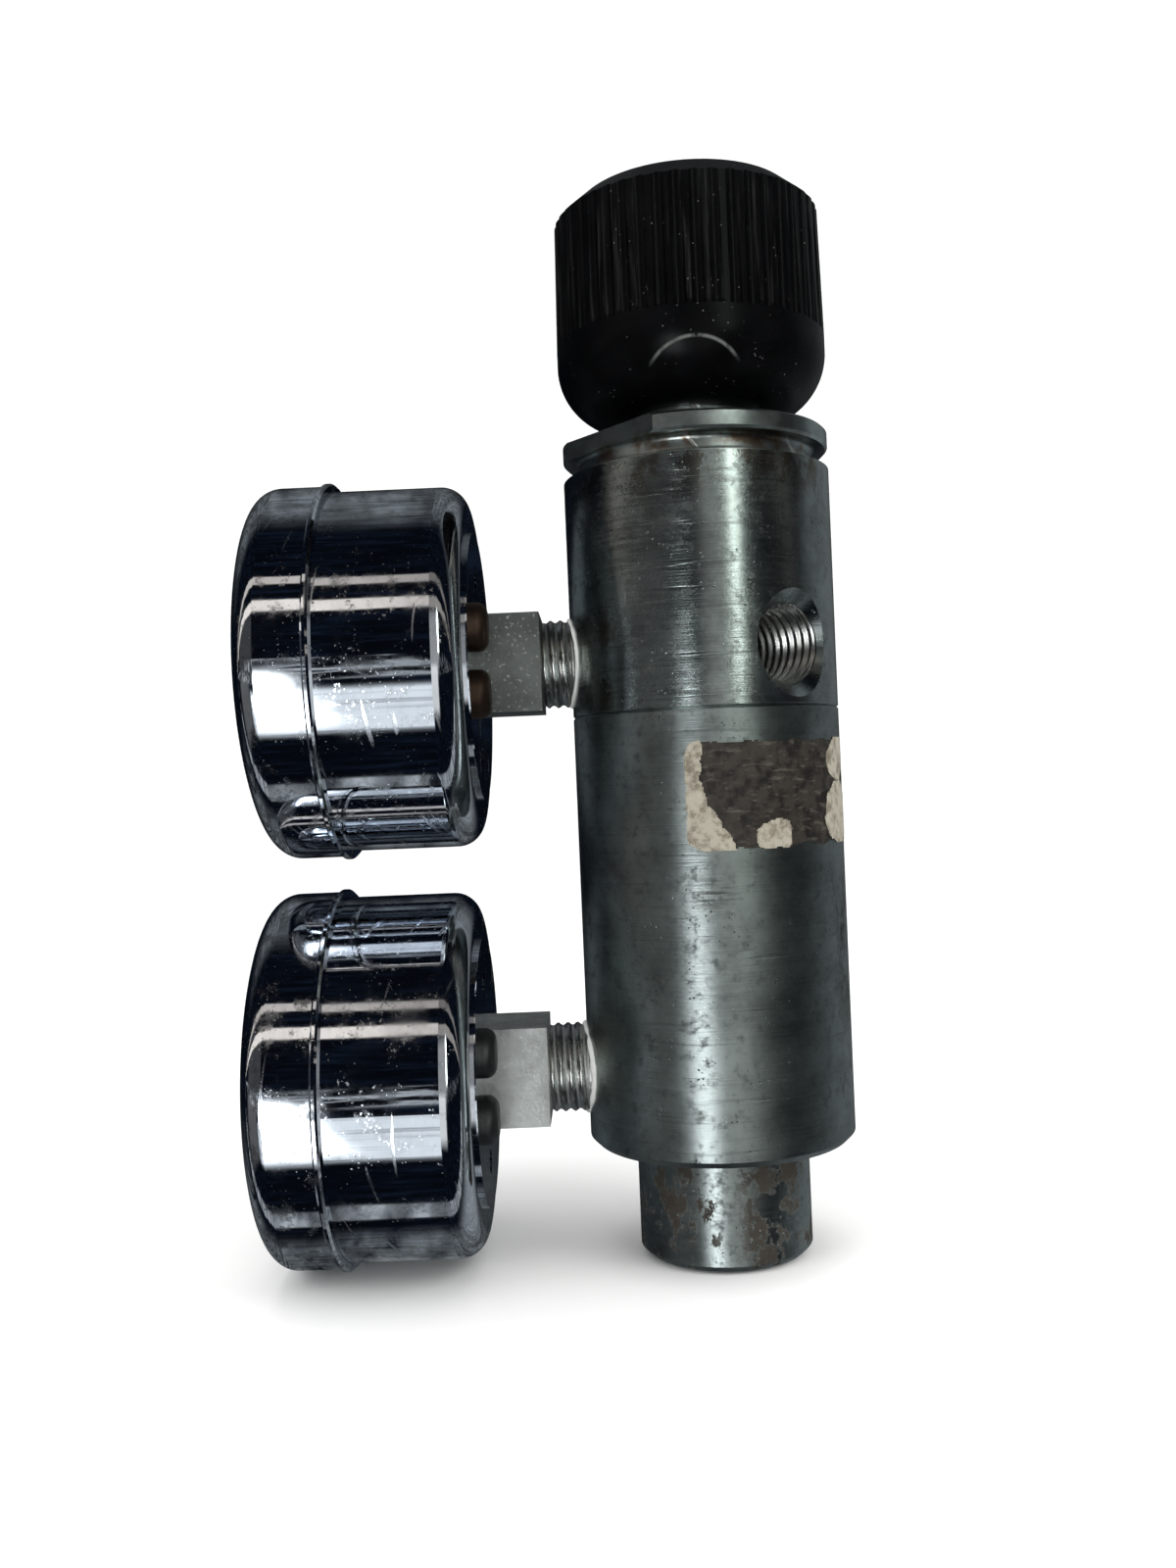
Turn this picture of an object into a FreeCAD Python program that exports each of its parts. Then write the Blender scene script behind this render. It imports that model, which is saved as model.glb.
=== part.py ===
import FreeCAD, Part
import Sketcher
import math
import os

# A two-gauge gas pressure regulator, standing on its inlet boss.
# The vertical axis of the body is Z, the bottom of the boss is Z = 0, the gauges point
# along -X and the outlet port looks to the front and right. All lengths are millimetres.

# Driving sizes: name, value and what it measures.
DRIVING_SIZES = [
    ("body_radius", 19.05, "radius of the round bar that both body halves are turned from"),
    ("boss_radius", 12.35, "radius of the inlet boss under the body"),
    ("boss_length", 16.0, "length of the inlet boss"),
    ("boss_chamfer", 0.8, "chamfer round the bottom of the boss"),
    ("upper_body_length", 33.7, "upper body from the joint line to the neck of the cap"),
    ("edge_chamfer", 0.9, "chamfer round the bottom edge of the lower body"),
    ("joint_chamfer", 0.25, "small chamfer on both sides of the joint line"),
    ("port_radius", 5.56, "tapping drill radius of a quarter inch pipe thread"),
    ("port_mouth_radius", 7.3, "radius of the countersink at a port's mouth"),
    ("port_depth", 13.0, "depth of a port's threaded bore"),
    ("outlet_passage_radius", 2.5, "radius of the drilling from the outlet chamber to its port"),
    ("inlet_passage_radius", 2.5, "radius of the drilling above the inlet port"),
    ("filter_rise", 2.1, "height of the inlet filter's shoulder over the boss"),
    ("filter_radius", 6.0, "radius of the filter pocket"),
    ("filter_thickness", 3.0, "thickness of the sintered filter disc"),
    ("filter_ring_height", 1.4, "height of the ring that holds the filter"),
    ("filter_ring_bore", 4.4, "bore radius of the ring that holds the filter"),
    ("poppet_chamber_depth", 43.3, "depth of the poppet spring's shoulder below the joint line"),
    ("poppet_chamber_radius", 7.2, "radius of the poppet chamber"),
    ("seat_depth", 18.5, "depth of the valve seat's shoulder below the joint line"),
    ("seat_radius", 10.0, "radius of the pocket for the valve seat and its retainer"),
    ("seat_thickness", 3.0, "thickness of the valve seat"),
    ("seat_orifice", 1.7, "radius of the hole through the valve seat"),
    ("seat_lead", 0.4, "countersink under the hole through the valve seat"),
    ("retainer_height", 4.6, "height of the threaded ring over the valve seat"),
    ("retainer_hex", 8.0, "width across flats of the retainer's key hole"),
    ("spigot_length", 9.4, "length of the upper body's spigot inside the lower body"),
    ("spigot_inset", 4.65, "how far the upper body's spigot is inside the body's round"),
    ("spigot_end_gap", 0.2, "gap under the upper body's spigot"),
    ("body_seal_depth", 5.3, "depth of the ring seal below the joint line"),
    ("body_seal_play", 0.2, "room beside the ring seal in its groove"),
    ("body_seal_section", 0.8, "section radius of the ring seal between the body halves"),
    ("outlet_chamber_radius", 4.5, "radius of the outlet chamber in the upper body"),
    ("outlet_port_rise", 8.3, "height of the outlet port over the joint line"),
    ("outlet_port_bearing", -53.0, "direction of the outlet port, in degrees from +X"),
    ("outlet_gauge_rise", 8.0, "height of the outlet gauge over the joint line"),
    ("inlet_gauge_rise", 10.5, "height of the inlet gauge over the boss"),
    ("piston_floor_rise", 15.8, "height over the joint line of the piston's shoulder"),
    ("piston_shoulder", 2.6, "width of the shoulder between the cap's thread and the piston's bore"),
    ("piston_height", 5.2, "height of the piston"),
    ("piston_relief_depth", 0.8, "depth of the pressure relief under the piston"),
    ("piston_foot_width", 3.5, "width of the ring that the piston stands on"),
    ("piston_spigot_radius", 5.2, "radius of the spigot that centres the range spring"),
    ("piston_spigot_height", 2.6, "height of the spigot that centres the range spring"),
    ("piston_seal_play", 0.15, "room beside the piston's ring seal in its groove"),
    ("piston_seal_section", 0.75, "section radius of the piston's ring seal"),
    ("piston_lift", 0.8, "lift of the piston and poppet from open to shut"),
    ("cap_thread_length", 10.4, "length of the cap's male thread in the upper body"),
    ("cap_thread_inset", 3.45, "how far the cap's thread is inside the body's round"),
    ("cap_end_gap", 0.3, "gap under the end of the cap's thread"),
    ("neck_height", 2.9, "height of the groove between the body and the cap's flange"),
    ("neck_inset", 2.65, "depth of this groove from the body's round"),
    ("neck_cove", 0.8, "rounding in the corners of the groove"),
    ("neck_step_inset", 0.6, "how far the step under the groove is inside the body's edge"),
    ("neck_step_height", 0.35, "height of the step under the groove"),
    ("flange_thickness", 2.6, "thickness of the cap's flange"),
    ("flange_inset", 0.05, "how far the cap's flange is inside the body's round"),
    ("flange_chamfer", 0.35, "chamfer on the edges of the cap's flange"),
    ("wrench_flat_depth", 2.6, "depth of the two flats on the cap's flange"),
    ("wrench_flat_bearing", 219.0, "direction that one wrench flat faces, in degrees from +X"),
    ("wrench_flat_overrun", 0.01, "how far the flats run past the flange's underside"),
    ("spring_bore", 8.2, "radius of the bore that guides the spring button"),
    ("tower_wall", 1.8, "wall of the cap's tower inside the knob"),
    ("tower_height", 19.0, "height of the cap's tower over its flange"),
    ("tower_web", 4.5, "thickness of the threaded web at the top of the tower"),
    ("screw_radius", 4.0, "radius of the adjusting screw"),
    ("screw_neck_radius", 2.8, "radius of the adjusting screw's threaded top"),
    ("screw_neck_length", 9.0, "length of the adjusting screw's threaded top"),
    ("ball_radius", 2.0, "radius of the thrust ball under the adjusting screw"),
    ("button_rise", 2.0, "height of the spring button's underside over the cap's flange"),
    ("button_height", 4.2, "height of the spring button"),
    ("button_spigot_height", 2.4, "height of the spigot under the spring button"),
    ("lead_chamfer", 0.5, "chamfer that leads a turned part into its place"),
    ("range_spring_play", 0.3, "gap round the range spring in its bore"),
    ("range_wire_radius", 1.05, "wire radius of the range spring"),
    ("range_spring_turns", 5.0, "turns of the range spring"),
    ("poppet_spring_play", 0.4, "how far the poppet spring is inside the poppet's flange"),
    ("poppet_wire_radius", 0.45, "wire radius of the poppet spring"),
    ("poppet_spring_turns", 5.0, "turns of the poppet spring"),
    ("poppet_radius", 6.0, "radius of the poppet's flange"),
    ("poppet_flange_drop", 9.4, "distance from the seat down to the poppet's flange when shut"),
    ("poppet_flange_height", 2.6, "height of the poppet's flange"),
    ("poppet_cone_radius", 3.4, "radius of the poppet's sealing cone"),
    ("poppet_cone_height", 1.2, "height of the poppet's sealing cone"),
    ("poppet_land", 0.6, "width of the ring on which the poppet's cone shuts"),
    ("poppet_stem_radius", 1.15, "radius of the stem that reaches the piston"),
    ("poppet_tail_radius", 3.2, "radius of the poppet's tail inside its spring"),
    ("poppet_tail_length", 9.0, "length of the poppet's tail inside its spring"),
    ("knob_gap", 2.8, "gap between the cap's flange and the knob"),
    ("knob_height", 31.7, "height of the knob"),
    ("knob_overhang", 0.2, "how far the knob's plain band stands out past the body"),
    ("knob_rim_width", 0.25, "width of the flat rim between the knob's hollow and its rounding"),
    ("knob_band_height", 2.3, "height of the plain band under the flutes"),
    ("knob_taper", 0.35, "how much the knob narrows from its band to its crown"),
    ("knob_crown_width", 3.3, "width of the knob's chamfered crown"),
    ("knob_crown_height", 3.2, "height of the knob's chamfered crown"),
    ("knob_face_dome", 0.4, "rise of the knob's top face"),
    ("flute_count", 48, "number of flutes round the knob"),
    ("flute_radius", 0.95, "radius of the cutter that makes a flute"),
    ("flute_depth", 0.7, "depth of a flute"),
    ("knob_bore_play", 0.4, "gap between the cap's tower and the hollow of the knob"),
    ("knob_bore_depth", 19.0, "depth of the hollow inside the knob"),
    ("insert_radius", 5.6, "radius of the knob's metal insert"),
    ("insert_length", 9.4, "length of the knob's metal insert"),
    ("stem_radius", 6.3, "radius of a gauge's stem inside its port"),
    ("stem_engaged", 9.0, "length of a gauge's stem inside its port"),
    ("stem_lead", 1.0, "chamfer at the end of a gauge's stem"),
    ("stem_end_gap", 1.0, "gap at the end of a gauge's stem in its port"),
    ("stem_core_radius", 6.0, "radius of a gauge's stem where its thread shows"),
    ("outlet_stem_shown", 4.2, "length of thread that shows on the outlet gauge"),
    ("inlet_stem_shown", 5.5, "length of thread that shows on the inlet gauge"),
    ("gauge_square", 13.9, "width across the flats of a gauge's wrench square"),
    ("socket_neck_inset", 0.4, "how far the socket's round neck is inside its square"),
    ("gauge_square_length", 9.0, "length of a gauge's wrench square"),
    ("gauge_gas_bore", 1.5, "radius of the gas drilling in a gauge's socket"),
    ("gauge_gap", 4.4, "gap between the two gauges, which sets the length of the lower body"),
    ("case_radius", 25.8, "outer radius of a gauge's case"),
    ("case_wall", 0.8, "wall thickness of a gauge's case"),
    ("case_corner", 3.6, "rounding of the case's back corner"),
    ("case_depth", 19.4, "depth of the case from its back to the bezel"),
    ("case_hidden_depth", 5.6, "depth of the case inside the bezel"),
    ("case_step_inset", 6.5, "how far the raised disc is inside the case's round"),
    ("case_step_height", 0.5, "height of the raised disc on the case's back"),
    ("case_hole_spacing", 25.4, "distance between the two blind holes in the case's back"),
    ("case_hole_offset", 2.5, "distance of the blind holes in front of the stem's axis"),
    ("case_hole_radius", 1.7, "radius of a blind hole in the case's back"),
    ("case_hole_depth", 0.7, "depth of a blind hole in the case's back"),
    ("bezel_wall", 0.75, "wall thickness of a gauge's bezel"),
    ("bezel_width", 10.5, "width of a gauge's bezel"),
    ("bezel_lip", 0.4, "height of the rolled lip at the back of the bezel"),
    ("bezel_lip_width", 1.0, "width of the rolled lip at the back of the bezel"),
    ("bezel_lip_chamfer", 0.3, "chamfer on the rolled lip of the bezel"),
    ("bezel_round", 3.4, "rounding of the bezel's front"),
    ("window_thickness", 2.0, "thickness of a gauge's window"),
    ("gasket_thickness", 0.8, "thickness of the gasket behind the window"),
    ("gasket_width", 2.2, "width of the gasket behind the window"),
    ("dial_gap", 0.6, "gap between a gauge's dial and its case"),
    ("dial_bore", 2.2, "radius of the hole in the middle of a dial"),
    ("dial_thickness", 0.6, "thickness of a gauge's dial"),
    ("dial_depth", 3.6, "distance from the gasket back to the dial"),
    ("dial_post_across", 4.2, "distance of the dial's posts in front of its middle"),
    ("dial_post_along", 4.4, "distance of a dial's post to the side of its middle"),
    ("dial_post_radius", 1.5, "radius of a dial's post"),
    ("dial_screw_radius", 0.8, "shank radius of a dial's screw"),
    ("dial_screw_head_radius", 1.4, "head radius of a dial's screw"),
    ("dial_screw_head_height", 0.7, "head height of a dial's screw"),
    ("stop_pin_radius", 0.4, "radius of the pin that stops the pointer at zero"),
    ("stop_pin_height", 1.8, "height of the pin that stops the pointer at zero"),
    ("stop_pin_lag", 5.0, "angle of the stop pin behind the pointer's zero, in degrees"),
    ("stop_pin_inset", 4.6, "how far the stop pin is inside the pointer's tip"),
    ("back_screw_spacing", 9.2, "distance between the two screws in the case's back"),
    ("back_screw_offset", 11.2, "distance of these screws in front of the stem's axis"),
    ("back_screw_head_radius", 3.4, "head radius of a screw in the case's back"),
    ("back_screw_head_height", 2.2, "head height of a screw in the case's back"),
    ("back_screw_round", 1.5, "rounding of a screw's head in the case's back"),
    ("back_screw_radius", 1.5, "shank radius of a screw in the case's back"),
    ("back_screw_reach", 3.0, "length of these screws inside the socket's block"),
    ("back_screw_end_gap", 0.5, "gap at the end of these screws"),
    ("block_half_width", 8.2, "half width of the socket's block inside the case"),
    ("block_height", 6.6, "height of the socket's block inside the case"),
    ("block_arm_half_width", 3.0, "half width of the arm's end that carries the tube's root"),
    ("tube_root_length", 3.4, "length of the foot under the pressure tube's root"),
    ("tube_root_drop", 0.4, "how far this foot ends below the tube's edge"),
    ("tube_case_gap", 4.4, "gap between the curved pressure tube and the case's wall"),
    ("tube_thickness", 2.4, "thickness of the flattened pressure tube"),
    ("tube_width", 5.8, "width of the flattened pressure tube"),
    ("tube_sweep", 250.0, "angle that the pressure tube turns through, in degrees"),
    ("tube_lift", 4.3, "distance of the pressure tube from the inside of the case's back"),
    ("tube_tip_length", 3.2, "length of the cap that closes the pressure tube's tip"),
    ("tube_tip_wall", 0.3, "how far this cap stands out round the tube"),
    ("tube_tip_drop", 0.2, "how far this cap stands out behind the tube"),
    ("sector_inset", 4.7, "distance of the sector's pivot from the inside of the pressure tube"),
    ("sector_tube_gap", 0.3, "gap between the pressure tube and the sector in front of it"),
    ("pinion_teeth", 10, "teeth of the pinion"),
    ("sector_teeth", 80, "teeth that the sector would have as a whole wheel"),
    ("sector_cut_teeth", 11, "teeth gaps cut in the sector"),
    ("gap_half_angle", 0.33, "half width of a tooth gap as a share of the tooth pitch"),
    ("gap_taper", 0.28, "share by which a tooth gap narrows to its root and widens to its tip"),
    ("gap_cut_reach", 0.3, "how far the outline of a tooth gap runs past the teeth"),
    ("pinion_overhang", 0.5, "how far the pinion is wider than the sector on each side"),
    ("sector_hub_radius", 2.0, "radius of the sector's hub"),
    ("sector_thickness", 0.9, "thickness of the sector"),
    ("sector_tail", 4.0, "distance from the sector's pivot to the link's pin"),
    ("sector_tail_bearing", 211.0, "direction of the sector's tail at zero, in degrees"),
    ("link_width", 2.4, "width of the link's eyes"),
    ("link_thickness", 0.7, "thickness of the link"),
    ("link_gap", 0.15, "gap between the sector and the link in front of it"),
    ("link_pin_rise", 0.3, "how far the link's pin stands out of the link"),
    ("plate_thickness", 1.0, "thickness of a movement plate"),
    ("plate_gap", 6.0, "distance between the two movement plates"),
    ("plate_half_width", 6.4, "half width of a movement plate at the pinion"),
    ("plate_neck", 6.5, "distance from the pinion at which a movement plate narrows"),
    ("plate_end", 3.2, "length of a movement plate past the sector's pivot"),
    ("plate_end_high", 4.6, "width of a movement plate's end on the pillar's side"),
    ("plate_end_low", 2.6, "width of a movement plate's end on the other side"),
    ("end_pillar_inset", 1.2, "distance of the single pillar from the plate's end"),
    ("end_pillar_along", 3.2, "distance of the single pillar to the side of the sector's pivot"),
    ("pillar_radius", 1.1, "radius of a movement pillar"),
    ("arbor_radius", 0.7, "radius of the pointer's arbor"),
    ("pivot_radius", 0.5, "radius of a pivot in its plate"),
    ("arbor_end_play", 0.1, "end play of an arbor between its plates"),
    ("collet_wall", 0.5, "wall of the collet that holds the hairspring"),
    ("hairspring_gap", 0.4, "gap between the link and the hairspring in front of it"),
    ("hairspring_turns", 3, "turns of the hairspring"),
    ("hairspring_pitch", 0.8, "distance between turns of the hairspring"),
    ("hairspring_strip", 0.14, "thickness of the hairspring's strip"),
    ("hairspring_height", 0.6, "height of the hairspring's strip"),
    ("pointer_length", 18.5, "length of the pointer from its centre"),
    ("pointer_tail", 6.0, "length of the pointer's tail"),
    ("pointer_thickness", 0.4, "thickness of the pointer"),
    ("pointer_gap", 1.2, "distance from the dial to the pointer"),
    ("pointer_tip_width", 0.3, "width of the pointer's tip"),
    ("pointer_waist_width", 1.4, "width of the pointer's blade at its waist"),
    ("pointer_waist", 1.5, "distance of the pointer's waist behind its centre"),
    ("pointer_tail_width", 2.2, "width of the pointer's tail"),
    ("pointer_hub_radius", 2.0, "radius of the pointer's hub"),
    ("pointer_hub_height", 0.8, "height of the pointer's hub over its blade"),
    ("pointer_rest_bearing", 225.0, "direction of the pointer at zero, in degrees"),
    ("running_clearance", 0.05, "radial clearance of a shaft or thread in its hole"),
    ("seat_clearance", 0.02, "clearance between two faces of bodies that touch and part"),
]

document = FreeCAD.newDocument("gas_regulator")
sheet = document.addObject("Spreadsheet::Sheet", "Sizes")
for row, (alias, value, meaning) in enumerate(DRIVING_SIZES, start=1):
    sheet.set(f"A{row}", alias)
    sheet.set(f"B{row}", str(value))
    sheet.set(f"C{row}", meaning)
    sheet.setAlias(f"B{row}", alias)
document.recompute()


class Size:
    """A length or an angle, known both as a number and as an expression on the sheet."""

    def __init__(self, number, text):
        self.number = number
        self.text = text

    def __add__(self, other):
        return Size(self.number + number_of(other), f"({self.text} + {text_of(other)})")

    def __radd__(self, other):
        return Size(number_of(other) + self.number, f"({text_of(other)} + {self.text})")

    def __sub__(self, other):
        return Size(self.number - number_of(other), f"({self.text} - {text_of(other)})")

    def __rsub__(self, other):
        return Size(number_of(other) - self.number, f"({text_of(other)} - {self.text})")

    def __mul__(self, other):
        return Size(self.number * number_of(other), f"({self.text} * {text_of(other)})")

    def __rmul__(self, other):
        return Size(number_of(other) * self.number, f"({text_of(other)} * {self.text})")

    def __truediv__(self, other):
        return Size(self.number / number_of(other), f"({self.text} / {text_of(other)})")

    def __rtruediv__(self, other):
        return Size(number_of(other) / self.number, f"({text_of(other)} / {self.text})")

    def __neg__(self):
        return Size(-self.number, f"(0 - {self.text})")


def number_of(size):
    return size.number if isinstance(size, Size) else float(size)


def text_of(size):
    return size.text if isinstance(size, Size) else f"{float(size):.9f}"


def root(size):
    return Size(math.sqrt(size.number), f"sqrt({size.text})")


def cosine(angle):
    return Size(math.cos(math.radians(number_of(angle))), f"cos({text_of(angle)} * 1 deg)")


def sine(angle):
    return Size(math.sin(math.radians(number_of(angle))), f"sin({text_of(angle)} * 1 deg)")


class Sizes:
    """The sheet's sizes by name."""

    def __getattr__(self, alias):
        return Size(float(getattr(sheet, alias)), f"Sizes.{alias}")


sizes = Sizes()
nodes = []


def bind(thing, path, size):
    """Ties one property of an object to the sheet."""
    thing.setExpression(path, text_of(size))


def new_body(name, place=None):
    """An empty sub-part; the place is moved there once its features are made."""
    body = document.addObject("PartDesign::Body", name)
    body.Label = name
    if place is not None:
        body.Placement = place
    nodes.append(body)
    return body


def origin_plane(body, role):
    return next(part for part in body.Origin.OriginFeatures if part.Role == role)


def sketch_on(body, label, role="XZ_Plane", lift=0, angle=0):
    """An empty sketch on one of the sub-part's own planes, lifted along its normal."""
    sketch = body.newObject("Sketcher::SketchObject", f"{body.Name}_{label}")
    sketch.AttachmentSupport = [(origin_plane(body, role), "")]
    sketch.MapMode = "FlatFace"
    turn = FreeCAD.Rotation(FreeCAD.Vector(0, 0, 1), number_of(angle))
    sketch.AttachmentOffset = FreeCAD.Placement(FreeCAD.Vector(0, 0, number_of(lift)), turn)
    if isinstance(lift, Size):
        bind(sketch, "AttachmentOffset.Base.z", lift)
    return sketch


def arc_between(start, end, radius):
    """The shorter arc; a positive radius turns to the left on the way, a negative to the right."""
    chord = end - start
    half = chord.Length / 2
    reach = math.sqrt(max(radius * radius - half * half, 0.0))
    left = FreeCAD.Vector(-chord.y, chord.x, 0).normalize()
    middle = (start + end) / 2
    centre = middle + left * (reach if radius > 0 else -reach)
    first, last = (start, end) if radius > 0 else (end, start)
    from_angle = math.atan2(first.y - centre.y, first.x - centre.x)
    to_angle = math.atan2(last.y - centre.y, last.x - centre.x)
    circle = Part.Circle(centre, FreeCAD.Vector(0, 0, 1), abs(radius))
    return Part.ArcOfCircle(circle, from_angle, to_angle)


def fix_point(sketch, geometry, point, across, along):
    """Holds one end of a line or arc, or a centre, at a place tied to the sheet."""
    for kind, size, axis in (("DistanceX", across, -2), ("DistanceY", along, -1)):
        if not isinstance(size, Size) and size == 0:
            sketch.addConstraint(Sketcher.Constraint("PointOnObject", geometry, point, axis))
            continue
        rule = Sketcher.Constraint(kind, -1, 1, geometry, point, number_of(size))
        index = sketch.addConstraint(rule)
        bind(sketch, f"Constraints[{index}]", size)


def add_loop(sketch, corners):
    """A closed outline; a third value at a corner bends the side that follows it."""
    points = [FreeCAD.Vector(number_of(c[0]), number_of(c[1]), 0) for c in corners]
    ends = []
    for index, corner in enumerate(corners):
        start = points[index]
        end = points[(index + 1) % len(points)]
        if len(corner) == 3:
            bend = number_of(corner[2])
            side = sketch.addGeometry(arc_between(start, end, bend), False)
            ends.append((side, 1, 2) if bend > 0 else (side, 2, 1))
        else:
            side = sketch.addGeometry(Part.LineSegment(start, end), False)
            ends.append((side, 1, 2))
    for index, corner in enumerate(corners):
        side, first, last = ends[index]
        after, after_first, after_last = ends[(index + 1) % len(ends)]
        sketch.addConstraint(Sketcher.Constraint("Coincident", side, last, after, after_first))
        fix_point(sketch, side, first, corner[0], corner[1])
        if len(corner) == 3:
            rule = Sketcher.Constraint("Radius", side, abs(number_of(corner[2])))
            index_of_rule = sketch.addConstraint(rule)
            bend = corner[2]
            bind(sketch, f"Constraints[{index_of_rule}]", bend if number_of(bend) > 0 else -bend)


def add_circle(sketch, across, along, radius):
    centre = FreeCAD.Vector(number_of(across), number_of(along), 0)
    circle = Part.Circle(centre, FreeCAD.Vector(0, 0, 1), number_of(radius))
    side = sketch.addGeometry(circle, False)
    fix_point(sketch, side, 3, across, along)
    index = sketch.addConstraint(Sketcher.Constraint("Radius", side, number_of(radius)))
    bind(sketch, f"Constraints[{index}]", radius)


def turned(name, corners, place=None, sweep=None):
    """A body of revolution about its own Z; each corner is a radius and a height."""
    body = new_body(name, place)
    sketch = sketch_on(body, "section")
    add_loop(sketch, corners)
    solid = body.newObject("PartDesign::Revolution", f"{name}_turned")
    solid.Profile = sketch
    solid.ReferenceAxis = (sketch, ["V_Axis"])
    solid.Angle = 360
    if sweep is not None:
        bind(solid, "Angle", sweep)
    return body


def raised(body, label, bottom, top, corners=None, circles=(), angle=0):
    """Material added between two heights over outlines drawn in plan."""
    sketch = sketch_on(body, f"{label}_plan", "XY_Plane", bottom, angle)
    if corners:
        add_loop(sketch, corners)
    for across, along, radius in circles:
        add_circle(sketch, across, along, radius)
    pad = body.newObject("PartDesign::Pad", f"{body.Name}_{label}")
    pad.Profile = sketch
    bind(pad, "Length", top - bottom)
    return sketch


def sunk(body, label, top, bottom, corners=None, circles=(), angle=0, loops=()):
    """A straight cut from a height downwards over outlines drawn in plan."""
    sketch = sketch_on(body, f"{label}_plan", "XY_Plane", top, angle)
    for loop in loops or ([corners] if corners else []):
        add_loop(sketch, loop)
    for across, along, radius in circles:
        add_circle(sketch, across, along, radius)
    pocket = body.newObject("PartDesign::Pocket", f"{body.Name}_{label}")
    pocket.Profile = sketch
    bind(pocket, "Length", top - bottom)
    return pocket, sketch


def side_drilled(body, label, level, bearing, corners):
    """A turned cut about a level axis through Z, such as a port; corners are reach and radius."""
    sketch = sketch_on(body, f"{label}_section")
    turn = FreeCAD.Rotation(FreeCAD.Vector(0, 1, 0), number_of(bearing))
    sketch.AttachmentOffset = FreeCAD.Placement(FreeCAD.Vector(0, number_of(level), 0), turn)
    bind(sketch, "AttachmentOffset.Base.y", level)
    add_loop(sketch, corners)
    cut = body.newObject("PartDesign::Groove", f"{body.Name}_{label}")
    cut.Profile = sketch
    cut.ReferenceAxis = (sketch, ["H_Axis"])
    cut.Angle = 360


def repeated(body, feature, sketch, count, sweep):
    """Copies of one cut round the sub-part's axis."""
    pattern = body.newObject("PartDesign::PolarPattern", f"{feature.Name}_round")
    pattern.Originals = [feature]
    pattern.Axis = (sketch, ["N_Axis"])
    bind(pattern, "Angle", sweep)
    bind(pattern, "Occurrences", count)
    body.Tip = pattern


def ring(name, mean_radius, level, section):
    """A round ring seal."""
    torus = document.addObject("Part::Torus", name)
    torus.Label = name
    bind(torus, "Radius1", mean_radius)
    bind(torus, "Radius2", section)
    bind(torus, "Placement.Base.z", level)
    nodes.append(torus)


def coil_spring(name, mean_radius, bottom, top, wire, turns):
    """A round-wire spring whose end coils rest on the faces at both heights."""
    body = new_body(name)
    sketch = sketch_on(body, "section")
    add_circle(sketch, mean_radius, bottom + wire, wire)
    coil = body.newObject("PartDesign::AdditiveHelix", f"{name}_coil")
    coil.Profile = sketch
    coil.ReferenceAxis = (sketch, ["V_Axis"])
    coil.Mode = "height-turns-angle"
    bind(coil, "Height", top - bottom - 2 * wire)
    bind(coil, "Turns", turns)


running = sizes.running_clearance
seat = sizes.seat_clearance

# Radii that follow from the body's round and from the gauges' cases.
spigot_radius = sizes.body_radius - sizes.spigot_inset
cap_thread_radius = sizes.body_radius - sizes.cap_thread_inset
piston_radius = cap_thread_radius - sizes.piston_shoulder
neck_radius = sizes.body_radius - sizes.neck_inset
flange_radius = sizes.body_radius - sizes.flange_inset
tower_radius = sizes.spring_bore + sizes.tower_wall
knob_radius = sizes.body_radius + sizes.knob_overhang
knob_bore = tower_radius + sizes.knob_bore_play
bezel_radius = sizes.case_radius + running + sizes.bezel_wall
bezel_lip_radius = bezel_radius + sizes.bezel_lip

# Levels that the sizes above add up to. The gauges' spacing sets where the body is divided.
body_bottom = sizes.boss_length
inlet_gauge_level = body_bottom + sizes.inlet_gauge_rise
outlet_gauge_level = inlet_gauge_level + 2 * bezel_lip_radius + sizes.gauge_gap
joint_level = outlet_gauge_level - sizes.outlet_gauge_rise
neck_bottom = joint_level + sizes.upper_body_length
flange_bottom = neck_bottom + sizes.neck_height
flange_top = flange_bottom + sizes.flange_thickness
spigot_bottom = joint_level - sizes.spigot_length
cap_bottom = neck_bottom - sizes.cap_thread_length
tower_top = flange_top + sizes.tower_height
web_bottom = tower_top - sizes.tower_web
knob_bottom = flange_top + sizes.knob_gap
knob_top = knob_bottom + sizes.knob_height
filter_floor = body_bottom + sizes.filter_rise
poppet_chamber_floor = joint_level - sizes.poppet_chamber_depth
seat_level = joint_level - sizes.seat_depth
poppet_flange_level = seat_level - sizes.poppet_flange_drop
body_seal_level = joint_level - sizes.body_seal_depth
outlet_port_level = joint_level + sizes.outlet_port_rise
piston_floor = joint_level + sizes.piston_floor_rise
button_level = flange_top + sizes.button_rise

# How far a cutter reaches past the material that it cuts.
overcut = 1.0


def port_corners(outer_radius, passage):
    """A pipe port: countersunk mouth, threaded bore, drill cone and a passage from the axis."""
    mouth = sizes.port_mouth_radius - sizes.port_radius
    bottom = outer_radius - sizes.port_depth
    return [
        (0, 0),
        (outer_radius + overcut, 0),
        (outer_radius + overcut, sizes.port_mouth_radius + overcut),
        (outer_radius, sizes.port_mouth_radius),
        (outer_radius - mouth, sizes.port_radius),
        (bottom, sizes.port_radius),
        (bottom - (sizes.port_radius - passage) / 2, passage),
        (0, passage),
    ]


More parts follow.
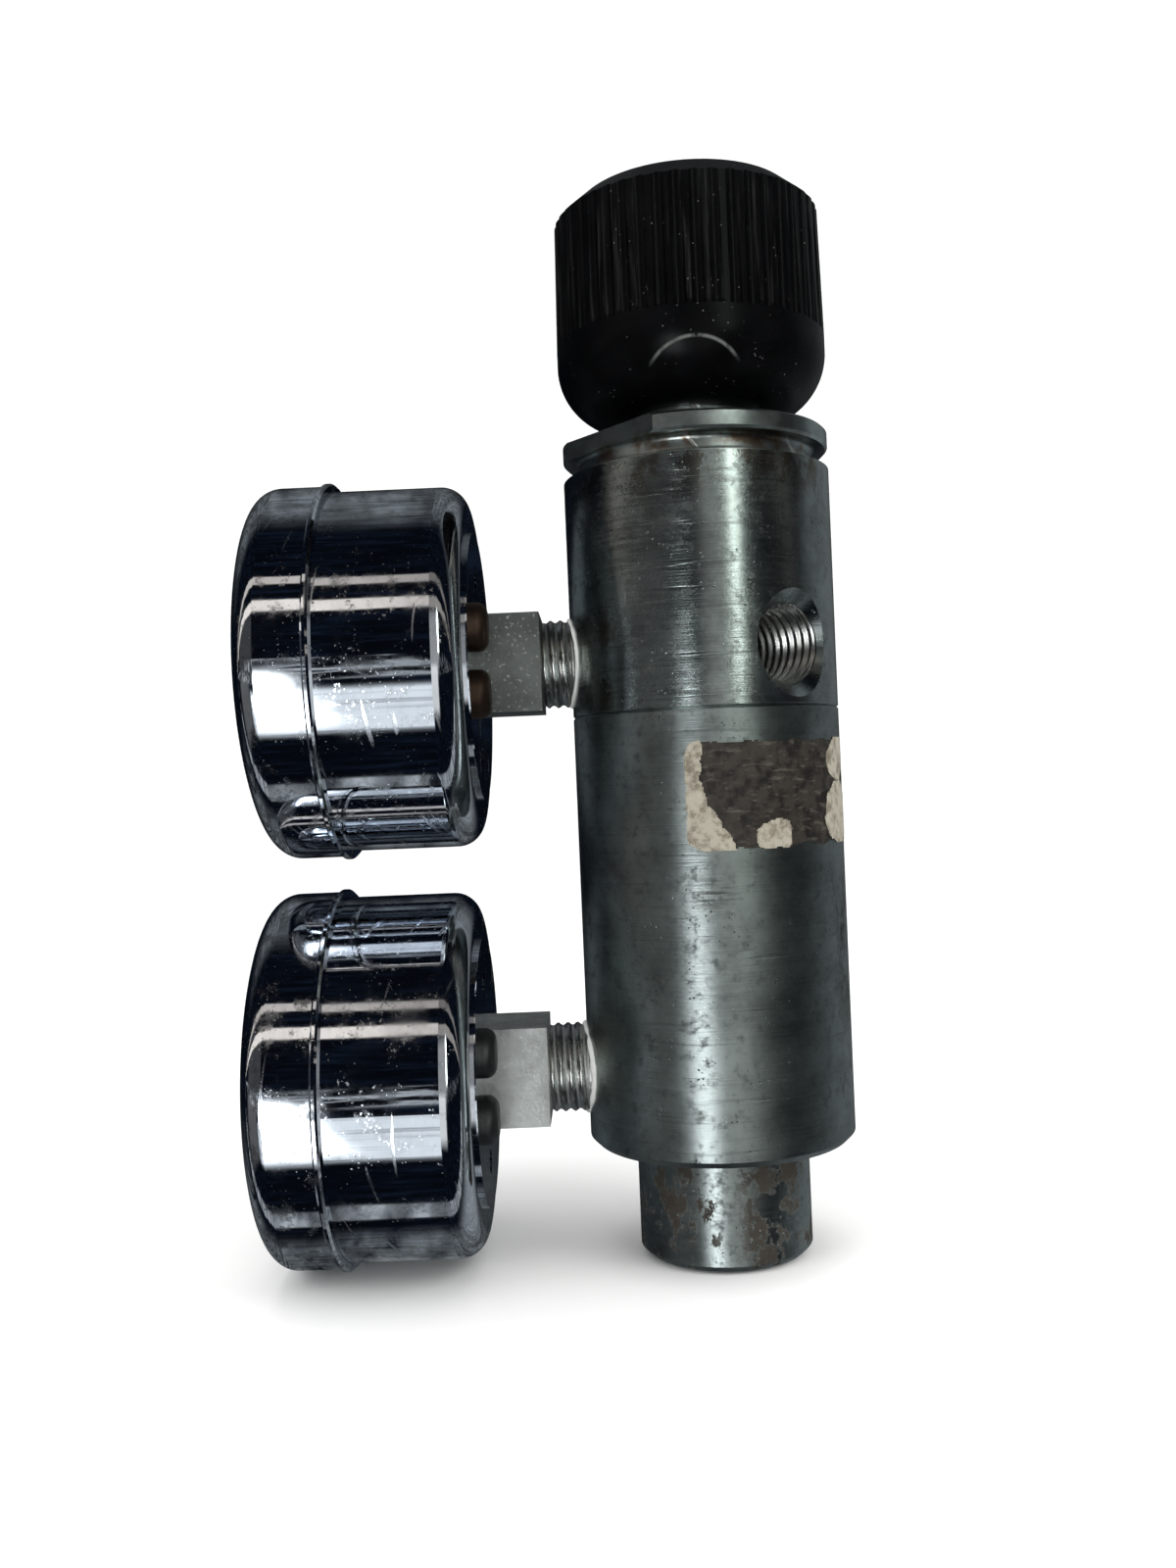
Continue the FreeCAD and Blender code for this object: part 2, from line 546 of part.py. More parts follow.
def gauge_port_corners(outer_radius, chamber_radius):
    """A gauge's port: a bore for the engaged stem and a drilling on to the chamber."""
    stem_end = outer_radius - sizes.stem_engaged - sizes.stem_end_gap
    bore = sizes.stem_radius + running
    return [
        (chamber_radius - overcut, 0),
        (outer_radius + overcut, 0),
        (outer_radius + overcut, bore),
        (stem_end, bore),
        (stem_end, sizes.gauge_gas_bore),
        (chamber_radius - overcut, sizes.gauge_gas_bore),
    ]


def make_lower_body():
    body = turned("lower_body", [
        (sizes.inlet_passage_radius, sizes.port_depth),
        (sizes.port_radius, sizes.port_depth),
        (sizes.port_radius, sizes.port_mouth_radius - sizes.port_radius),
        (sizes.port_mouth_radius, 0),
        (sizes.boss_radius - sizes.boss_chamfer, 0),
        (sizes.boss_radius, sizes.boss_chamfer),
        (sizes.boss_radius, body_bottom),
        (sizes.body_radius - sizes.edge_chamfer, body_bottom),
        (sizes.body_radius, body_bottom + sizes.edge_chamfer),
        (sizes.body_radius, joint_level - sizes.joint_chamfer),
        (sizes.body_radius - sizes.joint_chamfer, joint_level),
        (spigot_radius + running, joint_level),
        (spigot_radius + running, spigot_bottom - sizes.spigot_end_gap),
        (sizes.seat_radius, spigot_bottom - sizes.spigot_end_gap),
        (sizes.seat_radius, seat_level),
        (sizes.poppet_chamber_radius, seat_level),
        (sizes.poppet_chamber_radius, poppet_chamber_floor),
        (sizes.filter_radius, poppet_chamber_floor),
        (sizes.filter_radius, filter_floor),
        (sizes.inlet_passage_radius, filter_floor),
    ])
    corners = gauge_port_corners(sizes.body_radius, sizes.filter_radius)
    side_drilled(body, "gauge_port", inlet_gauge_level, 180, corners)


def make_upper_body():
    groove_floor = spigot_radius + running - 2 * sizes.body_seal_section
    seal_half = sizes.body_seal_section + sizes.body_seal_play
    body = turned("upper_body", [
        (sizes.outlet_chamber_radius, spigot_bottom),
        (spigot_radius, spigot_bottom),
        (spigot_radius, body_seal_level - seal_half),
        (groove_floor, body_seal_level - seal_half),
        (groove_floor, body_seal_level + seal_half),
        (spigot_radius, body_seal_level + seal_half),
        (spigot_radius, joint_level),
        (sizes.body_radius - sizes.joint_chamfer, joint_level),
        (sizes.body_radius, joint_level + sizes.joint_chamfer),
        (sizes.body_radius, neck_bottom),
        (cap_thread_radius + running, neck_bottom),
        (cap_thread_radius + running, cap_bottom - sizes.cap_end_gap),
        (piston_radius, cap_bottom - sizes.cap_end_gap),
        (piston_radius, piston_floor),
        (sizes.outlet_chamber_radius, piston_floor),
    ])
    corners = gauge_port_corners(sizes.body_radius, sizes.outlet_chamber_radius)
    side_drilled(body, "gauge_port", outlet_gauge_level, 180, corners)
    corners = port_corners(sizes.body_radius, sizes.outlet_passage_radius)
    side_drilled(body, "outlet_port", outlet_port_level, sizes.outlet_port_bearing, corners)


def make_body_seal():
    mean = spigot_radius + running - sizes.body_seal_section
    ring("body_seal", mean, body_seal_level, sizes.body_seal_section - seat)


def make_inlet_parts():
    filter_top = filter_floor + sizes.filter_thickness
    ring_top = filter_top + sizes.filter_ring_height
    outer = sizes.filter_radius - running
    turned("inlet_filter", [
        (0, filter_floor),
        (outer, filter_floor),
        (outer, filter_top),
        (0, filter_top),
    ])
    turned("filter_ring", [
        (sizes.filter_ring_bore, filter_top),
        (outer, filter_top),
        (outer, ring_top),
        (sizes.filter_ring_bore, ring_top),
    ])


def make_valve_seat():
    seat_top = seat_level + sizes.seat_thickness
    retainer_top = seat_top + sizes.retainer_height
    outer = sizes.seat_radius - running
    turned("valve_seat", [
        (sizes.seat_orifice, seat_level + sizes.seat_lead),
        (sizes.seat_orifice + sizes.seat_lead, seat_level),
        (outer, seat_level),
        (outer, seat_top),
        (sizes.seat_orifice, seat_top),
    ])
    retainer = turned("seat_retainer", [
        (0, seat_top),
        (outer, seat_top),
        (outer, retainer_top),
        (0, retainer_top),
    ])
    reach = sizes.retainer_hex / (2 * cosine(30))
    hexagon = [(reach * cosine(60 * side), reach * sine(60 * side)) for side in range(6)]
    sunk(retainer, "key_hole", retainer_top + overcut, seat_top - overcut, hexagon)


def make_poppet():
    """The valve's poppet, drawn open: pushed down from its seat by the piston's lift."""
    drop = sizes.piston_lift
    flange_bottom_now = poppet_flange_level - drop
    flange_top_now = flange_bottom_now + sizes.poppet_flange_height
    cone_top = seat_level - drop - seat
    stem_top = piston_floor + sizes.piston_relief_depth - seat
    turned("poppet", [
        (0, flange_bottom_now - sizes.poppet_tail_length),
        (sizes.poppet_tail_radius, flange_bottom_now - sizes.poppet_tail_length),
        (sizes.poppet_tail_radius, flange_bottom_now),
        (sizes.poppet_radius, flange_bottom_now),
        (sizes.poppet_radius, flange_top_now),
        (sizes.poppet_cone_radius, flange_top_now),
        (sizes.poppet_cone_radius, cone_top - sizes.poppet_cone_height),
        (sizes.seat_orifice + sizes.poppet_land, cone_top),
        (sizes.poppet_stem_radius, cone_top),
        (sizes.poppet_stem_radius, stem_top),
        (0, stem_top),
    ])
    mean = sizes.poppet_radius - sizes.poppet_wire_radius - sizes.poppet_spring_play
    coil_spring("poppet_spring", mean, poppet_chamber_floor + seat, flange_bottom_now - seat,
                sizes.poppet_wire_radius, sizes.poppet_spring_turns)


def make_piston():
    outer = piston_radius - running
    bottom = piston_floor + seat
    top = bottom + sizes.piston_height
    relief = bottom + sizes.piston_relief_depth
    groove_floor = piston_radius - 2 * sizes.piston_seal_section
    seal_level = bottom + sizes.piston_height / 2
    seal_half = sizes.piston_seal_section + sizes.piston_seal_play
    spigot_top = top + sizes.piston_spigot_height
    turned("piston", [
        (0, relief),
        (piston_radius - sizes.piston_foot_width, relief),
        (piston_radius - sizes.piston_foot_width, bottom),
        (outer, bottom),
        (outer, seal_level - seal_half),
        (groove_floor, seal_level - seal_half),
        (groove_floor, seal_level + seal_half),
        (outer, seal_level + seal_half),
        (outer, top),
        (sizes.piston_spigot_radius, top),
        (sizes.piston_spigot_radius, spigot_top - sizes.lead_chamfer),
        (sizes.piston_spigot_radius - sizes.lead_chamfer, spigot_top),
        (0, spigot_top),
    ])
    section = sizes.piston_seal_section - seat
    ring("piston_seal", piston_radius - sizes.piston_seal_section, seal_level, section)
    wire = sizes.range_wire_radius
    mean = sizes.spring_bore - sizes.range_spring_play - wire
    coil_spring("range_spring", mean, top + seat, button_level - seat, wire,
                sizes.range_spring_turns)


def make_bonnet_cap():
    cove = sizes.neck_cove
    chamfer = sizes.flange_chamfer
    lead = sizes.lead_chamfer
    step_radius = sizes.body_radius - sizes.joint_chamfer - sizes.neck_step_inset
    step_top = neck_bottom + sizes.neck_step_height
    body = turned("bonnet_cap", [
        (sizes.spring_bore, cap_bottom),
        (cap_thread_radius, cap_bottom),
        (cap_thread_radius, neck_bottom),
        (step_radius, neck_bottom),
        (step_radius, step_top),
        (neck_radius + cove, step_top, -cove),
        (neck_radius, step_top + cove),
        (neck_radius, flange_bottom - cove, -cove),
        (neck_radius + cove, flange_bottom),
        (flange_radius - chamfer, flange_bottom),
        (flange_radius, flange_bottom + chamfer),
        (flange_radius, flange_top - chamfer),
        (flange_radius - chamfer, flange_top),
        (tower_radius, flange_top),
        (tower_radius, tower_top - lead),
        (tower_radius - lead, tower_top),
        (sizes.screw_radius + running, tower_top),
        (sizes.screw_radius + running, web_bottom),
        (sizes.spring_bore, web_bottom),
    ])
    flat = flange_radius - sizes.wrench_flat_depth
    far = flange_radius + overcut
    sides = []
    for near, away in ((flat, far), (-far, -flat)):
        sides.append([(near, -far), (away, -far), (away, far), (near, far)])
    sunk(body, "wrench_flats", flange_top + overcut, flange_bottom - sizes.wrench_flat_overrun,
         loops=sides, angle=sizes.wrench_flat_bearing)


def make_adjuster():
    button_top = button_level + sizes.button_height
    cup = sizes.ball_radius
    ball_level = button_top + cup / 2
    outer = sizes.spring_bore - 2 * running
    cup_radius = root(cup * cup - (cup / 2) * (cup / 2))
    lead = sizes.lead_chamfer
    turned("spring_button", [
        (0, button_level - sizes.button_spigot_height),
        (sizes.piston_spigot_radius, button_level - sizes.button_spigot_height),
        (sizes.piston_spigot_radius, button_level),
        (outer, button_level),
        (outer, button_top - lead),
        (outer - lead, button_top),
        (cup_radius, button_top, -cup),
        (0, ball_level - cup),
    ])
    ball = document.addObject("Part::Sphere", "thrust_ball")
    ball.Label = "thrust_ball"
    bind(ball, "Radius", cup - seat)
    bind(ball, "Placement.Base.z", ball_level)
    nodes.append(ball)
    tip = ball_level + cup / 2
    shoulder = knob_bottom + sizes.knob_bore_depth
    turned("adjusting_screw", [
        (0, ball_level + cup, -cup),
        (cup_radius, tip),
        (sizes.screw_radius - lead, tip),
        (sizes.screw_radius, tip + lead),
        (sizes.screw_radius, shoulder),
        (sizes.screw_neck_radius, shoulder),
        (sizes.screw_neck_radius, shoulder + sizes.screw_neck_length),
        (0, shoulder + sizes.screw_neck_length),
    ])


def make_knob():
    shoulder = knob_bottom + sizes.knob_bore_depth
    underside = knob_radius - knob_bore - sizes.knob_rim_width
    band_bottom = knob_bottom + underside
    band_top = band_bottom + sizes.knob_band_height
    crown_bottom = knob_top - sizes.knob_crown_height
    insert_top = shoulder + sizes.insert_length
    top_radius = knob_radius - sizes.knob_taper
    face = top_radius - sizes.knob_crown_width
    dome = sizes.knob_face_dome
    dome_radius = (face * face + dome * dome) / (2 * dome)
    knob = turned("knob", [
        (knob_bore, knob_bottom),
        (knob_radius - underside, knob_bottom, underside),
        (knob_radius, band_bottom),
        (knob_radius, band_top),
        (top_radius, crown_bottom),
        (face, knob_top - dome, dome_radius),
        (0, knob_top),
        (0, insert_top),
        (sizes.insert_radius, insert_top),
        (sizes.insert_radius, shoulder),
        (knob_bore, shoulder),
    ])
    cutter_centre = knob_radius - sizes.flute_depth + sizes.flute_radius
    flute, plan = sunk(knob, "flute", knob_top + overcut, band_top,
                       circles=[(cutter_centre, 0, sizes.flute_radius)])
    repeated(knob, flute, plan, sizes.flute_count, 360)
    bore = sizes.screw_neck_radius + running
    turned("knob_insert", [
        (bore, shoulder),
        (sizes.insert_radius, shoulder),
        (sizes.insert_radius, insert_top),
        (0, insert_top),
        (0, shoulder + sizes.screw_neck_length),
        (bore, shoulder + sizes.screw_neck_length),
    ])


# Levels inside a gauge, measured from the square's free end towards the dial.
case_back = sizes.gauge_square_length
case_floor = case_back + sizes.case_step_height + sizes.case_wall
bezel_back = case_back + sizes.case_depth
case_rim = bezel_back + sizes.case_hidden_depth
window_back = case_rim + sizes.gasket_thickness
window_front = window_back + sizes.window_thickness
bezel_front = bezel_back + sizes.bezel_width
block_top = case_floor + sizes.block_height
plate_top = block_top + sizes.plate_thickness
front_plate = plate_top + sizes.plate_gap
front_plate_top = front_plate + sizes.plate_thickness
dial_front = case_rim - sizes.dial_depth
dial_back = dial_front - sizes.dial_thickness
tube_bottom = case_floor + sizes.tube_lift
tube_top = tube_bottom + sizes.tube_width
sector_bottom = tube_top + sizes.sector_tube_gap
sector_top = sector_bottom + sizes.sector_thickness
link_bottom = sector_top + sizes.link_gap
link_top = link_bottom + sizes.link_thickness
hairspring_bottom = link_top + sizes.hairspring_gap
hairspring_top = hairspring_bottom + sizes.hairspring_height
pointer_bottom = dial_front + sizes.pointer_gap

# Radii inside a gauge, from the case inwards, and the gear train that they leave room for.
gasket_bore = sizes.case_radius - sizes.gasket_width
dial_radius = sizes.case_radius - sizes.case_wall - sizes.dial_gap
tube_outer_radius = sizes.case_radius - sizes.case_wall - sizes.tube_case_gap
tube_inner_radius = tube_outer_radius - sizes.tube_thickness
tube_mean_radius = tube_outer_radius - sizes.tube_thickness / 2
sector_distance = tube_inner_radius - sizes.sector_inset
gear_module = 2 * sector_distance / (sizes.pinion_teeth + sizes.sector_teeth)
pinion_pitch_radius = gear_module * sizes.pinion_teeth / 2
sector_pitch_radius = gear_module * sizes.sector_teeth / 2
root_depth = 1.25 * gear_module
tail_across = sizes.sector_tail * cosine(sizes.sector_tail_bearing) - sector_distance
tail_along = sizes.sector_tail * sine(sizes.sector_tail_bearing)
socket_neck_radius = sizes.gauge_square / 2 - sizes.socket_neck_inset


def gauge_place(stem_shown, level):
    """Where a gauge's own frame lies: its axis along -X, its top towards +Z."""
    turn = FreeCAD.Rotation(
        FreeCAD.Vector(0, -1, 0), FreeCAD.Vector(0, 0, 1), FreeCAD.Vector(-1, 0, 0), "ZXY"
    )
    reach = sizes.body_radius + stem_shown
    return FreeCAD.Placement(FreeCAD.Vector(-reach.number, 0, level.number), turn)


def tie_place(body, stem_shown, level):
    """Ties a gauge piece's place to the sheet."""
    bind(body, "Placement.Base.x", -(sizes.body_radius + stem_shown))
    bind(body, "Placement.Base.z", level)


def make_gauge_socket(name, place, stem_shown):
    half = sizes.gauge_square / 2
    stem_end = -(stem_shown + sizes.stem_engaged)
    body = turned(name, [
        (sizes.gauge_gas_bore, stem_end),
        (sizes.stem_radius - sizes.stem_lead, stem_end),
        (sizes.stem_radius, stem_end + sizes.stem_lead),
        (sizes.stem_radius, -stem_shown),
        (sizes.stem_core_radius, -stem_shown),
        (sizes.stem_core_radius, 0),
        (socket_neck_radius, 0),
        (socket_neck_radius, block_top),
        (sizes.gauge_gas_bore, block_top),
    ], place)
    raised(body, "square", Size(0, "0"), case_back, [
        (-half, -half), (half, -half), (half, half), (-half, half)
    ])
    # the block inside the case, with an arm that carries the root of the pressure tube
    wide = sizes.block_half_width
    tip = sizes.block_arm_half_width
    root_length = sizes.tube_root_length
    arm = root((tube_inner_radius - running) * (tube_inner_radius - running) - tip * tip)
    shoulder = arm - (wide - tip) / 2
    raised(body, "block", case_floor, block_top, [
        (-wide, -wide), (shoulder, -wide), (arm, -tip), (arm, tip), (shoulder, wide), (-wide, wide)
    ])
    raised(body, "root_foot", case_floor, tube_top - sizes.tube_root_drop, [
        (shoulder, -root_length), (tube_outer_radius, -root_length), (tube_outer_radius, 0),
        (shoulder, 0)
    ])
    sunk(body, "gas_way", block_top + overcut, block_top - sizes.block_height / 2,
         circles=[(0, 0, sizes.gauge_gas_bore)])
    spread = sizes.back_screw_spacing / 2
    hole = sizes.back_screw_radius + running
    hole_end = case_floor + sizes.back_screw_reach + sizes.back_screw_end_gap
    sunk(body, "screw_holes", hole_end, case_floor - overcut, circles=[
        (sizes.back_screw_offset, spread, hole), (sizes.back_screw_offset, -spread, hole)
    ])


def make_gauge_case(name, place):
    corner = sizes.case_corner
    outer = sizes.case_radius
    step = case_back + sizes.case_step_height
    inner_corner = corner - sizes.case_wall
    hole = socket_neck_radius + running
    step_radius = outer - sizes.case_step_inset
    body = turned(name, [
        (hole, case_back),
        (step_radius, case_back),
        (step_radius, step),
        (outer - corner, step, corner),
        (outer, step + corner),
        (outer, case_rim),
        (outer - sizes.case_wall, case_rim),
        (outer - sizes.case_wall, step + corner, -inner_corner),
        (outer - corner, case_floor),
        (hole, case_floor),
    ], place)
    spread = sizes.back_screw_spacing / 2
    hole_radius = sizes.back_screw_radius + running
    sunk(body, "screw_holes", case_floor + overcut, case_back - overcut, circles=[
        (sizes.back_screw_offset, spread, hole_radius),
        (sizes.back_screw_offset, -spread, hole_radius),
    ])
    half = sizes.case_hole_spacing / 2
    sunk(body, "blind_holes", case_back + sizes.case_hole_depth, case_back - overcut, circles=[
        (sizes.case_hole_offset, half, sizes.case_hole_radius),
        (sizes.case_hole_offset, -half, sizes.case_hole_radius),
    ])


def make_back_screws(name, place):
    """Two pan head screws that clamp the case's back to the socket's block."""
    body = new_body(name, place)
    head = sizes.back_screw_head_radius
    spread = sizes.back_screw_spacing / 2
    low = case_back - sizes.back_screw_head_height
    places = [(sizes.back_screw_offset, spread), (sizes.back_screw_offset, -spread)]
    raised(body, "heads", low, case_back, circles=[(x, y, head) for x, y in places])
    shank = [(x, y, sizes.back_screw_radius) for x, y in places]
    raised(body, "shanks", (low + case_back) / 2, case_floor + sizes.back_screw_reach,
           circles=shank)
    document.recompute()
    sharp = body.Tip
    rims = []
    for index, edge in enumerate(sharp.Shape.Edges, start=1):
        if edge.Curve.TypeId != "Part::GeomCircle":
            continue
        if abs(edge.Curve.Center.z - low.number) < 0.001:
            rims.append(f"Edge{index}")
    softened = body.newObject("PartDesign::Fillet", f"{name}_softened")
    softened.Base = (sharp, rims)
    bind(softened, "Radius", sizes.back_screw_round)


def make_gauge_front(name, place):
    inner = sizes.case_radius + running
    outer = bezel_radius
    lip = bezel_lip_radius
    lip_end = bezel_back + sizes.bezel_lip_width
    chamfer = sizes.bezel_lip_chamfer
    bend = sizes.bezel_round
    turned(f"{name}_bezel", [
        (inner, bezel_back),
        (lip - chamfer, bezel_back),
        (lip, bezel_back + chamfer),
        (lip, lip_end - chamfer),
        (outer, lip_end),
        (outer, bezel_front - bend, bend),
        (outer - bend, bezel_front),
        (outer - bend, window_front),
        (inner, window_front),
    ], place)
    turned(f"{name}_gasket", [
        (gasket_bore, case_rim),
        (sizes.case_radius - running, case_rim),
        (sizes.case_radius - running, window_back),
        (gasket_bore, window_back),
    ], place)
    turned(f"{name}_window", [
        (0, window_back),
        (sizes.case_radius - running, window_back),
        (sizes.case_radius - running, window_front),
        (0, window_front),
    ], place)


def make_dial(name, place):
    dial = turned(f"{name}_dial", [
        (sizes.dial_bore, dial_back),
        (dial_radius, dial_back),
        (dial_radius, dial_front),
        (sizes.dial_bore, dial_front),
    ], place)
    sunk(dial, "screw_holes", dial_front + overcut, dial_back - overcut,
         circles=at_dial_posts(sizes.dial_screw_radius + running))
    # a stop pin that the pointer rests against at zero
    behind = sizes.pointer_rest_bearing + sizes.stop_pin_lag
    reach = sizes.pointer_length - sizes.stop_pin_inset
    raised(dial, "stop_pin", (dial_back + dial_front) / 2, dial_front + sizes.stop_pin_height,
           circles=[(reach * cosine(behind), reach * sine(behind), sizes.stop_pin_radius)])
    posts = new_body(f"{name}_dial_posts", place)
    raised(posts, "posts", front_plate_top, dial_back,
           circles=at_dial_posts(sizes.dial_post_radius))
    screws = new_body(f"{name}_dial_screws", place)
    raised(screws, "heads", dial_front, dial_front + sizes.dial_screw_head_height,
           circles=at_dial_posts(sizes.dial_screw_head_radius))
    raised(screws, "shanks", dial_back + running, dial_front,
           circles=at_dial_posts(sizes.dial_screw_radius))


def at_dial_posts(radius):
    """Circles at the two places where the dial is held, which two pillars stand in line with."""
    across, along = sizes.dial_post_across, sizes.dial_post_along
    return [(across, along, radius), (across, -along, radius)]


def plate_corners():
    """The outline that both movement plates share: wide at the pinion, narrow at the sector."""
    end = -(sector_distance + sizes.plate_end)
    neck = -sizes.plate_neck
    wide = sizes.plate_half_width
    return [
        (end, -sizes.plate_end_low), (neck, -wide), (wide, -wide), (wide, wide), (neck, wide),
        (end, sizes.plate_end_high)
    ]


def make_movement_frame(name, place):
    """Back plate on the socket's block, pillars and front plate."""
    hole = sizes.pivot_radius + running
    pivots = [(0, 0, hole), (-sector_distance, 0, hole)]
    back = new_body(f"{name}_back_plate", place)
    raised(back, "plate", block_top, plate_top, plate_corners())
    sunk(back, "pivot_holes", plate_top + overcut, block_top - overcut, circles=pivots)
    front = new_body(f"{name}_front_plate", place)
    raised(front, "plate", front_plate, front_plate_top, plate_corners())
    wide = sizes.arbor_radius + running
    sunk(front, "pivot_holes", front_plate_top + overcut, front_plate - overcut, circles=[
        (0, 0, wide), (-sector_distance, 0, hole)
    ])
    pillars = new_body(f"{name}_pillars", place)
    single = sizes.end_pillar_inset - sector_distance - sizes.plate_end
    raised(pillars, "posts", plate_top, front_plate, circles=[
        *at_dial_posts(sizes.pillar_radius), (single, sizes.end_pillar_along, sizes.pillar_radius)
    ])


def tooth_gap(root_radius, outer_radius, pitch_angle, bearing):
    """One gap between two teeth: narrow at the root, wide at the tip."""
    narrow = pitch_angle * sizes.gap_half_angle * (1 - sizes.gap_taper)
    wide = pitch_angle * sizes.gap_half_angle * (1 + sizes.gap_taper)
    beyond = outer_radius + sizes.gap_cut_reach
    return [
        (root_radius * cosine(bearing - narrow), root_radius * sine(bearing - narrow)),
        (beyond * cosine(bearing - wide), beyond * sine(bearing - wide)),
        (beyond * cosine(bearing + wide), beyond * sine(bearing + wide)),
        (root_radius * cosine(bearing + narrow), root_radius * sine(bearing + narrow)),
    ]


def make_pinion(name, place):
    """The pointer's arbor with its pinion: a tooth points at the sector's pivot."""
    teeth = sizes.pinion_teeth
    outer = pinion_pitch_radius + gear_module
    inner = pinion_pitch_radius - root_depth
    pinion_bottom = sector_bottom - sizes.pinion_overhang
    pinion_top = sector_top + sizes.pinion_overhang
    play = sizes.arbor_end_play
    collet = sizes.arbor_radius + sizes.collet_wall
    body = turned(name, [
        (0, block_top + play),
        (sizes.pivot_radius, block_top + play),
        (sizes.pivot_radius, plate_top + play),
        (sizes.arbor_radius, plate_top + play),
        (sizes.arbor_radius, pinion_bottom),
        (outer, pinion_bottom),
        (outer, pinion_top),
        (sizes.arbor_radius, pinion_top),
        (sizes.arbor_radius, hairspring_bottom),
        (collet, hairspring_bottom),
        (collet, hairspring_top),
        (sizes.arbor_radius, hairspring_top),
        (sizes.arbor_radius, pointer_bottom),
        (0, pointer_bottom),
    ], place)
    pitch_angle = 360 / teeth
    corners = tooth_gap(inner, outer, pitch_angle, 180 + pitch_angle / 2)
    gap, plan = sunk(body, "tooth_gap", pinion_top + running, pinion_bottom - running, corners)
    repeated(body, gap, plan, teeth, 360)


def make_sector(name, place):
    """The toothed sector: a gap faces the pinion at rest, and a tail carries the link."""
    outer = sector_pitch_radius + gear_module
    inner = sector_pitch_radius - root_depth
    pitch_angle = 360 / sizes.sector_teeth
    lowest = -(sizes.sector_cut_teeth - 2) * pitch_angle - 0.5 * pitch_angle
    highest = 1.5 * pitch_angle
    middle = (lowest + highest) / 2
    hub = sizes.sector_hub_radius
    hub_spread = 60
    place_here = place.multiply(FreeCAD.Placement(
        FreeCAD.Vector(-sector_distance.number, 0, 0), FreeCAD.Rotation()
    ))
    body = new_body(name, place_here)
    fan = [
        (hub * cosine(lowest - hub_spread), hub * sine(lowest - hub_spread)),
        (outer * cosine(lowest), outer * sine(lowest), outer),
        (outer * cosine(middle), outer * sine(middle), outer),
        (outer * cosine(highest), outer * sine(highest)),
        (hub * cosine(highest + hub_spread), hub * sine(highest + hub_spread)),
        (hub * cosine(180), hub * sine(180)),
    ]
    raised(body, "fan", sector_bottom, sector_top, fan)
    tail = sizes.sector_tail
    eye = sizes.link_width / 2
    side = eye * 0.8
    across, along = cosine(sizes.sector_tail_bearing), sine(sizes.sector_tail_bearing)
    play = sizes.arbor_end_play
    raised(body, "tail", sector_bottom, sector_top, [
        (side * along, -side * across),
        (tail * across + side * along, tail * along - side * across),
        (tail * across - side * along, tail * along + side * across),
        (-side * along, side * across),
    ])
    raised(body, "tail_eye", sector_bottom, sector_top,
           circles=[(tail * across, tail * along, eye)])
    raised(body, "arbor", plate_top + play, front_plate - play,
           circles=[(0, 0, sizes.arbor_radius)])
    raised(body, "pivots", block_top + play, front_plate_top,
           circles=[(0, 0, sizes.pivot_radius)])
    raised(body, "link_pin", sector_bottom, link_top + sizes.link_pin_rise,
           circles=[(tail * across, tail * along, sizes.pivot_radius)])
    corners = tooth_gap(inner, outer, pitch_angle, pitch_angle)
    gap, plan = sunk(body, "tooth_gap", sector_top + running, sector_bottom - running, corners)
    sweep = (sizes.sector_cut_teeth - 1) * pitch_angle
    repeated(body, gap, plan, sizes.sector_cut_teeth, sweep)
    body.Tip.Reversed = True
    return body


def tip_point():
    """Where the link meets the tube's tip, in the gauge's own frame."""
    radius = tube_mean_radius
    bearing = sizes.tube_sweep
    tip_offset = sizes.tube_tip_length / 2
    return (
        radius * cosine(bearing) - tip_offset * sine(bearing),
        radius * sine(bearing) + tip_offset * cosine(bearing),
    )


def make_link(name, place):
    """The link from the sector's tail to the tube's tip."""
    tip_across, tip_along = tip_point()
    step_across = tip_across - tail_across
    step_along = tip_along - tail_along
    length = root(step_across * step_across + step_along * step_along)
    bearing = math.degrees(math.atan2(step_along.number, step_across.number))
    turn = FreeCAD.Rotation(FreeCAD.Vector(0, 0, 1), bearing)
    start = FreeCAD.Vector(tail_across.number, tail_along.number, 0)
    body = new_body(name, place.multiply(FreeCAD.Placement(start, turn)))
    eye = sizes.link_width / 2
    bar = eye * 0.5
    raised(body, "bar", link_bottom, link_top, [
        (0, -bar), (length, -bar), (length, bar), (0, bar)
    ])
    raised(body, "eyes", link_bottom, link_top, circles=[(0, 0, eye), (length, 0, eye)])
    sunk(body, "pin_hole", link_top + overcut, link_bottom - overcut,
         circles=[(0, 0, sizes.pivot_radius + running)])


def make_tube(name, place):
    """The curved pressure tube: a flattened section turned through most of a circle."""
    middle = tube_mean_radius
    half = sizes.tube_thickness / 2
    bevel = half * 0.8
    turned(f"{name}_tube", [
        (middle - half + bevel, tube_bottom),
        (middle + half - bevel, tube_bottom),
        (middle + half, tube_bottom + bevel),
        (middle + half, tube_top - bevel),
        (middle + half - bevel, tube_top),
        (middle - half + bevel, tube_top),
        (middle - half, tube_top - bevel),
        (middle - half, tube_bottom + bevel),
    ], place, sizes.tube_sweep)
    turn = FreeCAD.Rotation(FreeCAD.Vector(0, 0, 1), sizes.tube_sweep.number)
    tip = new_body(f"{name}_tube_tip", place.multiply(FreeCAD.Placement(FreeCAD.Vector(), turn)))
    inner = tube_inner_radius - sizes.tube_tip_wall
    outer = tube_outer_radius + sizes.tube_tip_wall
    length = sizes.tube_tip_length
    raised(tip, "cap", tube_bottom - sizes.tube_tip_drop, link_bottom - running, [
        (inner, 0), (outer, 0), (outer, length), (inner, length)
    ])


